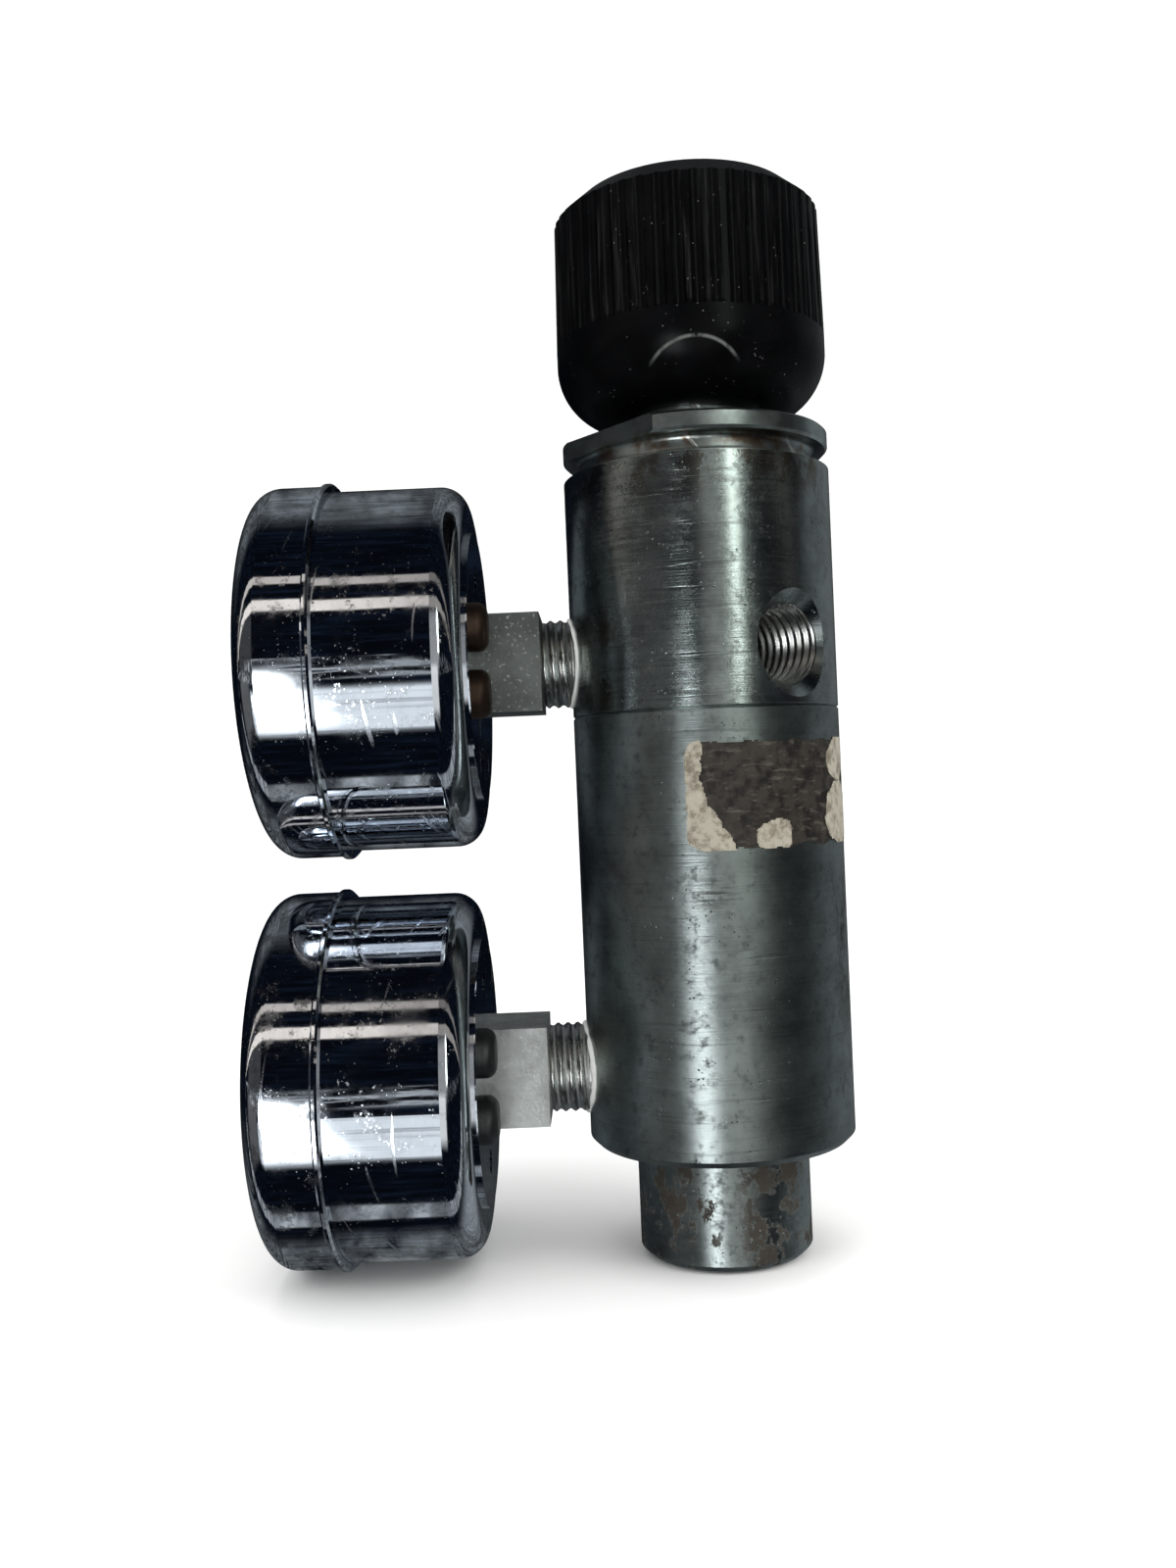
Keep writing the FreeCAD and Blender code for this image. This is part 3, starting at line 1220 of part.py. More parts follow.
def make_hairspring(name, place):
    """A flat spiral of half circles from the arbor's collet outwards."""
    inner = (sizes.arbor_radius + sizes.collet_wall).number
    strip = sizes.hairspring_strip.number
    level = hairspring_bottom.number
    half_pitch = sizes.hairspring_pitch.number / 2
    edges_out, edges_in = [], []
    radius = inner + strip
    centre = 0.0
    side = 1
    for _ in range(2 * int(sizes.hairspring_turns.number)):
        for edges, offset in ((edges_out, 0.0), (edges_in, -strip)):
            reach = radius + offset
            start = FreeCAD.Vector(centre + side * reach, 0, level)
            over = FreeCAD.Vector(centre, side * reach, level)
            end = FreeCAD.Vector(centre - side * reach, 0, level)
            edges.append(Part.Arc(start, over, end).toShape())
        centre += side * half_pitch / 2
        radius += half_pitch / 2
        side = -side
    first = Part.LineSegment(edges_out[0].valueAt(edges_out[0].FirstParameter),
                             edges_in[0].valueAt(edges_in[0].FirstParameter)).toShape()
    last = Part.LineSegment(edges_out[-1].valueAt(edges_out[-1].LastParameter),
                            edges_in[-1].valueAt(edges_in[-1].LastParameter)).toShape()
    wire = Part.Wire(Part.__sortEdges__(edges_out + edges_in + [first, last]))
    height = FreeCAD.Vector(0, 0, sizes.hairspring_height.number)
    spiral = Part.Face(wire).extrude(height)
    node = document.addObject("Part::Feature", name)
    node.Label = name
    node.Shape = spiral
    node.Placement = place
    nodes.append(node)
    return node


def make_pointer(name, place):
    """The pointer, drawn at zero against its stop pin."""
    turn = FreeCAD.Rotation(FreeCAD.Vector(0, 0, 1), sizes.pointer_rest_bearing.number)
    here = place.multiply(FreeCAD.Placement(FreeCAD.Vector(), turn))
    body = new_body(name, here)
    top = pointer_bottom + sizes.pointer_thickness
    places = [
        (-sizes.pointer_tail, sizes.pointer_tail_width / 2),
        (-sizes.pointer_waist, sizes.pointer_waist_width / 2),
        (sizes.pointer_length, sizes.pointer_tip_width / 2),
    ]
    near_side = [(across, -half) for across, half in places]
    raised(body, "blade", pointer_bottom, top, near_side + places[::-1])
    raised(body, "hub", pointer_bottom, top + sizes.pointer_hub_height,
           circles=[(0, 0, sizes.pointer_hub_radius)])


def make_gauge(name, stem_shown, level):
    """One gauge, from its threaded stem to its window."""
    before = len(nodes)
    place = gauge_place(stem_shown, level)
    make_gauge_socket(f"{name}_socket", place, stem_shown)
    make_gauge_case(f"{name}_case", place)
    make_back_screws(f"{name}_back_screws", place)
    make_gauge_front(name, place)
    make_dial(name, place)
    make_movement_frame(name, place)
    make_pinion(f"{name}_pinion", place)
    make_sector(f"{name}_sector", place)
    make_link(f"{name}_link", place)
    make_tube(name, place)
    make_hairspring(f"{name}_hairspring", place)
    make_pointer(f"{name}_pointer", place)
    for node in nodes[before:]:
        if node.Placement.Base == place.Base:
            tie_place(node, stem_shown, level)


make_lower_body()
make_upper_body()
make_body_seal()
make_inlet_parts()
make_valve_seat()
make_poppet()
make_piston()
make_bonnet_cap()
make_adjuster()
make_knob()
make_gauge("outlet_gauge", sizes.outlet_stem_shown, outlet_gauge_level)
make_gauge("inlet_gauge", sizes.inlet_stem_shown, inlet_gauge_level)
document.recompute()

# Every object must be sound before anything is written.
for thing in document.Objects:
    if "Invalid" in thing.State or "Error" in thing.State:
        raise RuntimeError(f"{thing.Name} failed: {thing.State}")
for node in nodes:
    if node.Shape.isNull() or not node.Shape.isValid() or node.Shape.Volume <= 0:
        raise RuntimeError(f"{node.Label} has no sound shape")

os.makedirs("parts", exist_ok=True)
for node in nodes:
    node.Shape.exportStep(os.path.join("parts", f"{node.Label}.step"))
    box = node.Shape.BoundBox
    print(node.Label, len(node.Shape.Solids), round(node.Shape.Volume, 2),
          [round(v, 2) for v in (box.XMin, box.YMin, box.ZMin, box.XMax, box.YMax, box.ZMax)])
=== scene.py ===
import math

import bmesh
import bpy
from mathutils import Matrix, Vector, noise


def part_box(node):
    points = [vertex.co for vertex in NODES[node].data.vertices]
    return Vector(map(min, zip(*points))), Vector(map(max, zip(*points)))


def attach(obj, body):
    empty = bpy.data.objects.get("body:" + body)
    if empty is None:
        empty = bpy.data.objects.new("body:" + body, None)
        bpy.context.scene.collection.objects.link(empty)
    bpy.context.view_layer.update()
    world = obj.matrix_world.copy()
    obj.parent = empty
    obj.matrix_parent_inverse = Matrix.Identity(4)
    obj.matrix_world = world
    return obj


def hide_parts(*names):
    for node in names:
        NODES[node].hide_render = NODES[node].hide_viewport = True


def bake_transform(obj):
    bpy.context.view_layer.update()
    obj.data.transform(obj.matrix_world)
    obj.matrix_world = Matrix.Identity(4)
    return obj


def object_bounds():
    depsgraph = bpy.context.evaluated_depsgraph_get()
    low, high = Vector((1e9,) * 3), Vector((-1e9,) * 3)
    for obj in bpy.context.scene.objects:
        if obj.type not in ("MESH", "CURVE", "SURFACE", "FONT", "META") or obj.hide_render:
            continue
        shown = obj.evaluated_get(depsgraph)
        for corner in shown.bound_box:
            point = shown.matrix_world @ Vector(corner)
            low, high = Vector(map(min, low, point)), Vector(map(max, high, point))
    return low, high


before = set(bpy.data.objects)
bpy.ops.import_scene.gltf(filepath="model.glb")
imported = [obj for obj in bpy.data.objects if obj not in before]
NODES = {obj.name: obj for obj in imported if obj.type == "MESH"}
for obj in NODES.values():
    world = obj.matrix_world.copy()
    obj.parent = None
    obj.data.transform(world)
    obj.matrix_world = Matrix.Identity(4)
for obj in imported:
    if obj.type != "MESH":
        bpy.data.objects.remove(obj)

bl_info = {
    "name": "Gas regulator looks",
    "version": (1, 0, 0),
    "blender": (4, 5, 0),
    "location": "3D View > Sidebar > Regulator",
    "description": "Finishes, threads, dials and studio for a two-gauge gas regulator",
    "category": "Object",
}

MM = 0.001
DEGREES_PER_RADIAN = 180 / math.pi
BODY = "regulator_body"
GAUGES = ("outlet_gauge", "inlet_gauge")

# Read from the frame: the line where the body halves meet, the boss's open end, the body's
# radius, the top of the upper half, and what the object stands on.
JOINT_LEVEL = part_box("lower_body")[1].z
BOSS_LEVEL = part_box("lower_body")[0].z
BODY_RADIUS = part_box("lower_body")[1].y
CAP_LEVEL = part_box("upper_body")[1].z
FLOOR_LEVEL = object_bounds()[0].z

# Sizes inside a solid, which the frame has no name for, repeated from the part's source.
BOSS_TOP = BOSS_LEVEL + 16 * MM
OUTLET_PORT_BEARING = math.radians(-53)
OUTLET_PORT_LEVEL = JOINT_LEVEL + 8.3 * MM
STEM_RADIUS = 6.3 * MM
FLUTE_CREST_RADIUS = 18.9 * MM
FLUTE_BOTTOM = 130.0 * MM

# Colours of dirt and wear, and one painted highlight: linear red, green and blue, with alpha.
RIM_BROWN = (0.13, 0.095, 0.055, 1)
STAIN_BROWN = (0.05, 0.035, 0.022, 1)
DRAG_BROWN = (0.05, 0.045, 0.035, 1)
RUST_BROWN = (0.045, 0.033, 0.022, 1)
NECK_RUST = (0.2, 0.1, 0.04, 1)
STEEL_GLINT = (0.9, 0.91, 0.88, 1)
SCRATCH_GLINT = (0.8, 0.8, 0.77, 1)
ZINC_GLINT = (0.9, 0.92, 0.9, 1)
CHROME_DUST = (0.6, 0.63, 0.68, 1)
FLUTE_SCUFF = (0.12, 0.12, 0.12, 1)
KNOB_DUST = (0.3, 0.3, 0.28, 1)
# painted highlight for the arch on the knob's underside
KNOB_ARCH_HIGHLIGHT = (0.4, 0.42, 0.4, 1)
CLEAR_GLASS = (0.95, 0.97, 0.97, 1)
GLASS_DUST = (0.7, 0.7, 0.68, 1)
PAPER_SOIL = (0.1, 0.08, 0.055, 1)
PAPER_FIBRE = (0.5, 0.47, 0.4, 1)
GLUE_DRAG = (0.14, 0.13, 0.105, 1)


def gauge_level(gauge):
    """The height of a gauge's axis."""
    low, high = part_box(f"{gauge}_dial")
    return (low.z + high.z) / 2


class Field:
    """One value, colour or vector in a node tree; sums and products of it add nodes."""

    def __init__(self, sheet, socket):
        self.sheet = sheet
        self.socket = socket

    def __add__(self, other):
        return self.sheet.maths("ADD", self, other)

    def __radd__(self, other):
        return self.sheet.maths("ADD", other, self)

    def __sub__(self, other):
        return self.sheet.maths("SUBTRACT", self, other)

    def __rsub__(self, other):
        return self.sheet.maths("SUBTRACT", other, self)

    def __mul__(self, other):
        return self.sheet.maths("MULTIPLY", self, other)

    def __rmul__(self, other):
        return self.sheet.maths("MULTIPLY", other, self)

    def between(self, low, high):
        """0 below low, 1 above high, smooth between them; high may be the smaller one."""
        return self.sheet.node(
            "ShaderNodeMapRange",
            {"interpolation_type": "SMOOTHSTEP", "clamp": True},
            {"Value": self, "From Min": low, "From Max": high, "To Min": 0.0, "To Max": 1.0},
        )

    def near(self, middle, reach):
        """1 at middle, falling to 0 at reach from it."""
        return self.sheet.maths("ABSOLUTE", self - middle).between(reach, 0.0)


class Sheet:
    """A node tree that starts empty, and the kinds of node that are added to it."""

    def __init__(self, tree, coordinates):
        self.tree = tree
        self.tree.nodes.clear()
        self.place = self.node("ShaderNodeTexCoord", output=coordinates)

    def node(self, kind, settings=None, inputs=None, output=0):
        """A node of a type, with its settings made first and then its sockets' values or links."""
        made = self.tree.nodes.new(kind)
        for name, value in (settings or {}).items():
            setattr(made, name, value)
        for name, value in (inputs or {}).items():
            if isinstance(value, Field):
                self.tree.links.new(value.socket, made.inputs[name])
            else:
                made.inputs[name].default_value = value
        return Field(self, made.outputs[output])

    def maths(self, operation, *values):
        """One sum on numbers or fields."""
        return self.node("ShaderNodeMath", {"operation": operation}, dict(enumerate(values)))

    def axis(self, letter):
        """The place along X, Y or Z."""
        return self.node("ShaderNodeSeparateXYZ", inputs={0: self.place}, output=letter)

    def along(self, direction):
        """The place along a direction."""
        return self.node("ShaderNodeVectorMath", {"operation": "DOT_PRODUCT"},
                         {0: self.place, 1: direction}, "Value")

    def stretched(self, scales, place=None):
        """The place, with each direction scaled by itself."""
        return self.node("ShaderNodeVectorMath", {"operation": "MULTIPLY"},
                         {0: place or self.place, 1: scales})

    def noise(self, scale, detail=2.0, rough=0.5, place=None):
        """Cloudy noise from 0 to 1; scale is in clouds to the metre."""
        return self.node("ShaderNodeTexNoise", inputs={
            "Vector": place or self.place, "Scale": scale, "Detail": detail, "Roughness": rough,
        })

    def streaks(self, scales, detail, rough, place=None):
        """Noise that is longer one way than another: rings, drag marks and brushed lines."""
        return self.noise(1.0, detail, rough, self.stretched(scales, place))

    def scratches(self, turned_about, angle, scales, rough):
        """Streaks that lie at an angle, in degrees, turned about an axis."""
        slanted = self.node("ShaderNodeVectorRotate", {"rotation_type": turned_about},
                            {"Vector": self.place, "Angle": math.radians(angle)})
        return self.streaks(scales, 1.0, rough, slanted)

    def cells(self, scale, feature="F1"):
        """The distance to the nearest of many scattered points."""
        return self.node("ShaderNodeTexVoronoi", {"feature": feature},
                         {"Vector": self.place, "Scale": scale})

    def mix(self, share, first, second):
        """A colour between two colours; 6 and 7 are the node's two colour sockets."""
        return self.node("ShaderNodeMix", {"data_type": "RGBA"},
                         {0: share, 6: first, 7: second}, 2)


class Finish(Sheet):
    """A material with one surface shader, in the object's own coordinates."""

    def __init__(self, name):
        self.material = bpy.data.materials.get(name) or bpy.data.materials.new(name)
        self.material.use_nodes = True
        super().__init__(self.material.node_tree, "Object")
        self.shader = self.tree.nodes.new("ShaderNodeBsdfPrincipled")
        output = self.tree.nodes.new("ShaderNodeOutputMaterial")
        self.tree.links.new(self.shader.outputs["BSDF"], output.inputs["Surface"])

    def area(self, bearing, height, half_width, half_height):
        """1 amid a patch of the body's skin and 0 around it, in degrees and millimetres."""
        turn = math.radians(bearing)
        across = self.along((math.cos(turn), math.sin(turn), 0))
        outward = self.along((math.sin(turn), -math.cos(turn), 0))
        level = self.axis("Z").near(height * MM, half_height * MM)
        return across.near(0.0, half_width * MM) * level * outward.between(0.0, 2 * MM)

    def bump(self, height, strength, depth):
        """A bumped normal from a height, as deep as depth in metres."""
        return self.node("ShaderNodeBump", inputs={
            "Height": height, "Strength": strength, "Distance": depth,
        })

    def finish(self, **sockets):
        """Sets the shader's own sockets by name, words joined by underscores."""
        for name, value in sockets.items():
            socket = self.shader.inputs[name.replace("_", " ")]
            if isinstance(value, Field):
                self.tree.links.new(value.socket, socket)
            else:
                socket.default_value = value
        return self.material


def tint(colour, share=1.0):
    """A colour with alpha, made darker or lighter."""
    return (*(min(c * share, 1.0) for c in colour[:3]), 1.0)


def dress(node, material):
    """Gives a part of the frame its material."""
    slots = NODES[node].data.materials
    slots.clear()
    slots.append(material)


def turned_steel(name, colour, dull):
    """Turned stainless bar: fine rings round the axis, pits, specks, stains and a worn boss."""
    steel = Finish(name)
    rings = steel.streaks((60, 60, 5200), 3.0, 0.6)
    broad_rings = steel.streaks((20, 20, 700), 2.0, 0.5)
    drags = steel.streaks((75, 75, 1500), 2.0, 0.5).between(0.6, 0.72)
    clouds = steel.noise(140.0, 6.0, 0.66)
    grime = steel.noise(520.0, 5.0, 0.7)
    pits = steel.cells(1250.0).between(0.2, 0.06) * steel.noise(230.0).between(0.48, 0.6)
    specks = steel.cells(1050.0).between(0.13, 0.05) * steel.noise(120.0).between(0.48, 0.6)
    ragged = steel.streaks((210, 210, 150), 6.0, 0.72)
    height = steel.axis("Z")
    boss = height.between(BOSS_TOP + 0.1 * MM, BOSS_TOP - 0.1 * MM)
    tone = steel.mix(clouds.between(0.3, 0.7), tint(colour, 0.7), tint(colour, 1.2))
    tone = steel.mix(rings.between(0.4, 0.75) * 0.25, tone, tint(colour, 1.5))
    tone = steel.mix(grime.between(0.5, 0.7) * 0.5, tone, tint(colour, 0.35))
    rim = height.near(CAP_LEVEL, 10 * MM) * ragged.between(0.5, 0.58)
    tone = steel.mix(rim * 0.65, tone, RIM_BROWN)
    # ragged dark stains on the right, one low down and one across the joint line
    stain = steel.area(66, 43, 5.0, 15.0) + steel.area(75, 75, 2.0, 12.0)
    stain = stain * ragged.between(0.42, 0.56)
    tone = steel.mix(stain * 0.75, tone, STAIN_BROWN)
    # dark marks dragged round the body, in front and high at the left
    dragged = steel.area(-4, 52, 5.0, 4.0) + steel.area(-40, 100, 7.0, 9.0) * 0.7
    dragged = dragged * steel.streaks((160, 160, 1900), 4.0, 0.6).between(0.46, 0.6)
    tone = steel.mix(dragged * 0.7, tone, DRAG_BROWN)
    # patches of rust round the boss, but for a bright strip down its front
    rust = boss * ragged.between(0.52, 0.56) * (1.0 - steel.area(-2, 8, 3.0, 30.0))
    tone = steel.mix(rust * 0.92, tone, RUST_BROWN)
    tone = steel.mix(pits * 0.8, tone, tint(colour, 0.12))
    tone = steel.mix(drags * 0.25, tone, tint(colour, 0.3))
    tone = steel.mix(specks * 0.5, tone, STEEL_GLINT)
    rough = 0.15 + dull + rings * 0.12 + clouds * 0.1 + grime.between(0.5, 0.8) * 0.2
    rough = rough + rust * 0.3 + stain * 0.2
    relief = rings * 0.5 + broad_rings * 0.6 - pits * 1.5 - drags * 0.3 + rust * 0.4
    relief = relief + clouds * 0.5
    return steel.finish(
        Base_Color=tone,
        Metallic=1.0 - rust * 0.5,
        Roughness=rough,
        Normal=steel.bump(relief, 0.5, 0.06 * MM),
    )


def cap_steel(name, colour):
    """The cap's steel: turned, rusty at its neck, with jaw scratches on its flats."""
    steel = Finish(name)
    rings = steel.streaks((70, 70, 4200), 3.0, 0.6)
    clouds = steel.noise(120.0, 4.0, 0.6)
    scratches = steel.scratches("Y_AXIS", 38, (1500, 40, 60), 0.4).between(0.66, 0.72)
    scratches = scratches * steel.noise(90.0).between(0.45, 0.6)
    neck = steel.axis("Z").near(CAP_LEVEL + 2.0 * MM, 2.2 * MM)
    rust = neck * steel.noise(150.0, 4.0, 0.7).between(0.46, 0.6)
    tone = steel.mix(clouds.between(0.3, 0.7), tint(colour, 0.5), tint(colour, 1.3))
    tone = steel.mix(rust * 0.8, tone, NECK_RUST)
    tone = steel.mix(scratches * 0.8, tone, SCRATCH_GLINT)
    return steel.finish(
        Base_Color=tone,
        Metallic=1.0,
        Roughness=0.22 + rings * 0.18 + clouds * 0.1,
        Normal=steel.bump(rings * 0.6 - scratches * 1.5, 0.5, 0.06 * MM),
    )


def chrome(name, colour, waves, grime):
    """Bright chrome plate: wavy from pressing, with pinholes, haze and fine scratches."""
    plate = Finish(name)
    peel = plate.noise(420.0, 2.0, 0.5)
    dents = plate.noise(70.0, 2.0, 0.5)
    haze = plate.noise(120.0, 5.0, 0.68)
    blots = plate.noise(360.0, 4.0, 0.7)
    dust = plate.cells(1500.0).between(0.17, 0.06) * plate.noise(210.0, 3.0).between(0.5, 0.64)
    freckles = plate.noise(2300.0, 2.0, 0.6).between(0.6, 0.72) * blots.between(0.5, 0.62)
    scratches = plate.scratches("Z_AXIS", 24, (1100, 90, 90), 0.3).between(0.71, 0.75)
    tone = plate.mix(haze.between(0.35, 0.7) * 0.4, tint(colour), tint(colour, 0.6))
    tone = plate.mix(blots.between(0.5, 0.68) * grime, tone, tint(colour, 0.35))
    tone = plate.mix(dust * 0.6, tone, CHROME_DUST)
    rough = 0.03 + haze.between(0.45, 0.75) * 0.1 + dust * 0.45 + scratches * 0.2
    rough = rough + freckles * 0.35 + blots.between(0.5, 0.7) * grime * 0.25
    relief = peel * 0.25 + dents * waves - dust * 0.4 - scratches * 0.4 + freckles * 0.5
    return plate.finish(
        Base_Color=tone,
        Metallic=1.0,
        Roughness=rough,
        Normal=plate.bump(relief, 0.2, 0.05 * MM),
    )


def blasted_zinc(name, colour, sparkle):
    """A grit-blasted, plated wrench square: crinkled grain with sparkling crests."""
    plate = Finish(name)
    grain = plate.noise(1900.0, 4.0, 0.65)
    dimples = plate.cells(1500.0, "SMOOTH_F1")
    clouds = plate.noise(160.0, 4.0, 0.6)
    crests = grain.between(0.56, 0.72) * dimples.between(0.25, 0.5)
    tone = plate.mix(clouds.between(0.3, 0.7), tint(colour, 0.7), tint(colour, 1.15))
    tone = plate.mix(crests * sparkle, tone, ZINC_GLINT)
    return plate.finish(
        Base_Color=tone,
        Metallic=0.85,
        Roughness=0.34 + grain * 0.3,
        Normal=plate.bump(grain * 0.8 + dimples * 0.5, 0.7, 0.12 * MM),
    )


def plain_metal(name, colour, rough=0.3, grain=700.0, marks=(1, 1, 1)):
    """A machined or drawn metal with fine tool marks and slight tarnish."""
    metal = Finish(name)
    tooling = metal.noise(grain, 3.0, 0.6, metal.stretched(marks))
    tarnish = metal.noise(180.0, 4.0, 0.6)
    tone = metal.mix(tarnish.between(0.35, 0.75) * 0.6, tint(colour), tint(colour, 0.55))
    tone = metal.mix(tooling.between(0.6, 0.8) * 0.4, tone, tint(colour, 1.4))
    return metal.finish(
        Base_Color=tone,
        Metallic=1.0,
        Roughness=rough + tooling * 0.16 + tarnish * 0.1,
        Normal=metal.bump(tooling, 0.3, 0.03 * MM),
    )


def moulded_plastic(name, colour):
    """Black moulded knob: satin skin, dust in the flutes, light scuffs on the flute tops."""
    plastic = Finish(name)
    skin = plastic.noise(2200.0, 3.0, 0.6)
    clouds = plastic.noise(160.0, 4.0, 0.6)
    dust = plastic.cells(1100.0).between(0.13, 0.05) * plastic.noise(240.0, 3.0).between(0.5, 0.62)
    streaks = plastic.streaks((1400, 1400, 60), 3.0, 0.6)
    east, north, height = (plastic.axis(letter) for letter in "XYZ")
    radius = plastic.maths("SQRT", east * east + north * north)
    crests = radius.between(FLUTE_CREST_RADIUS - 0.35 * MM, FLUTE_CREST_RADIUS)
    fluted = height.between(FLUTE_BOTTOM, FLUTE_BOTTOM + 0.6 * MM)
    scuffs = crests * fluted * streaks.between(0.5, 0.72)
    # a painted highlight: the bright line that arches over the front of the underside
    across, rise = east + 0.8 * MM, height - 119.5 * MM
    reach = plastic.maths("SQRT", across * across * 0.8 + rise * rise)
    arch_highlight = reach.near(6.1 * MM, 0.35 * MM) * north.between(-6 * MM, -8 * MM)
    arch_highlight = arch_highlight * height.between(122.3 * MM, 124.3 * MM)
    arch_highlight = arch_highlight * plastic.noise(500.0, 3.0, 0.6).between(0.3, 0.55)
    tone = plastic.mix(clouds.between(0.4, 0.7), tint(colour), tint(colour, 1.6))
    tone = plastic.mix(scuffs * 0.1, tone, FLUTE_SCUFF)
    tone = plastic.mix(dust * 0.4, tone, KNOB_DUST)
    # painted highlight: the arch is lightened in the base colour
    tone = plastic.mix(arch_highlight * 0.25, tone, KNOB_ARCH_HIGHLIGHT)
    return plastic.finish(
        Base_Color=tone,
        Roughness=0.2 + skin * 0.1 + clouds * 0.1 + scuffs * 0.2,
        Normal=plastic.bump(skin * 0.4 - dust * 0.3, 0.2, 0.03 * MM),
        IOR=1.17,
    )


def painted(name, colour, rough, speck):
    """A matt painted or moulded face with faint mottling."""
    paint = Finish(name)
    grain = paint.noise(1800.0, 3.0, 0.6)
    mottle = paint.noise(130.0, 4.0, 0.6)
    tone = paint.mix(mottle.between(0.4, 0.75) * 0.25, tint(colour), tint(colour, 0.82))
    tone = paint.mix(grain.between(0.72, 0.8) * 0.3, tone, tint(speck))
    return paint.finish(
        Base_Color=tone,
        Roughness=rough + grain * 0.1,
        Normal=paint.bump(grain, 0.12, 0.03 * MM),
    )


def window_glass(name):
    """A gauge's window: nearly clear, with smears and a little dust."""
    glass = Finish(name)
    smears = glass.noise(90.0, 4.0, 0.6).between(0.5, 0.8)
    dust = glass.cells(1200.0).between(0.1, 0.04) * glass.noise(200.0).between(0.52, 0.62)
    material = glass.finish(
        Base_Color=glass.mix(dust, CLEAR_GLASS, GLASS_DUST),
        Roughness=0.03 + smears * 0.08,
        Alpha=0.04 + smears * 0.04 + dust * 0.4,
        IOR=1.49,
    )
    material.surface_render_method = "BLENDED"
    return material


def torn_paper(name, colour):
    """What is left of a sticker's paper: cream, fibrous, soiled in blots."""
    paper = Finish(name)
    fibres = paper.streaks((2600, 2600, 900), 4.0, 0.7)
    soil = paper.noise(420.0, 4.0, 0.7)
    tone = paper.mix(soil.between(0.42, 0.64) * 0.8, tint(colour), PAPER_SOIL)
    tone = paper.mix(fibres.between(0.55, 0.78) * 0.5, tone, PAPER_FIBRE)
    return paper.finish(
        Base_Color=tone,
        Roughness=0.75 + fibres * 0.2,
        Normal=paper.bump(fibres, 0.6, 0.05 * MM),
    )


def old_adhesive(name, colour):
    """Dirty adhesive: dark brown, blotched, half shiny."""
    glue = Finish(name)
    blots = glue.noise(520.0, 5.0, 0.7)
    drag = glue.streaks((380, 380, 1500), 3.0, 0.6)
    tone = glue.mix(blots.between(0.4, 0.65), tint(colour), tint(colour, 0.3))
    tone = glue.mix(drag.between(0.54, 0.7) * 0.3, tone, GLUE_DRAG)
    return glue.finish(
        Base_Color=tone,
        Roughness=0.42 + blots * 0.3,
        Normal=glue.bump(blots * 0.7 + drag * 0.5, 0.5, 0.06 * MM),
    )


def rubber(name):
    """Black seal or gasket rubber."""
    return painted(name, (0.02, 0.02, 0.021), 0.6, (0.1, 0.1, 0.1))


def as_mesh(name, made, material, smooth=True):
    """Turns a bmesh into a mesh with one material."""
    mesh = bpy.data.meshes.new(name)
    made.to_mesh(mesh)
    made.free()
    mesh.materials.append(material)
    mesh.polygons.foreach_set("use_smooth", [smooth] * len(mesh.polygons))
    return mesh


def new_object(name, data):
    """An object in the scene, standing at the row frame's origin."""
    made = bpy.data.objects.new(name, data)
    bpy.context.scene.collection.objects.link(made)
    return made


def new_piece(name, made, material, smooth=True):
    """A piece on the body from a bmesh in metres, in the row frame."""
    piece = new_object(name, as_mesh(name, made, material, smooth))
    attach(piece, BODY)


def grid_mesh(rows, columns, point, wrap=False, close=False):
    """Quads from a function of row and column; wrap joins the last column, close the last row."""
    made = bmesh.new()
    verts = [[made.verts.new(point(r, c)) for c in range(columns)] for r in range(rows)]
    for r in range(rows if close else rows - 1):
        s = (r + 1) % rows
        for c in range(columns if wrap else columns - 1):
            d = (c + 1) % columns
            made.faces.new((verts[r][c], verts[r][d], verts[s][d], verts[s][c]))
    return made


def thread_height(turns):
    """The height of a V thread at a number of turns, 0 at the root and 1 at the crest."""
    share = turns % 1.0
    return max(0.0, min(1.0, 1.25 - abs(share - 0.5) * 2.9))


def thread_mesh(length, pitch, root, crest, place):
    """A screw thread along local Z from 0 to length, run out at both ends."""
    around, rows_per_turn = 72, 14
    rows = int(length / pitch * rows_per_turn) + 2
    step = length / (rows - 1)

    def point(row, column):
        angle = math.tau * column / around
        along = row * step
        depth = thread_height(along / pitch - column / around)
        edge = min(1.0, along / (0.5 * pitch), (length - along) / (0.5 * pitch))
        radius = root + (crest - root) * depth * max(edge, 0.0)
        return place @ Vector((radius * math.cos(angle), radius * math.sin(angle), along))

    return grid_mesh(rows, around, point, wrap=True)


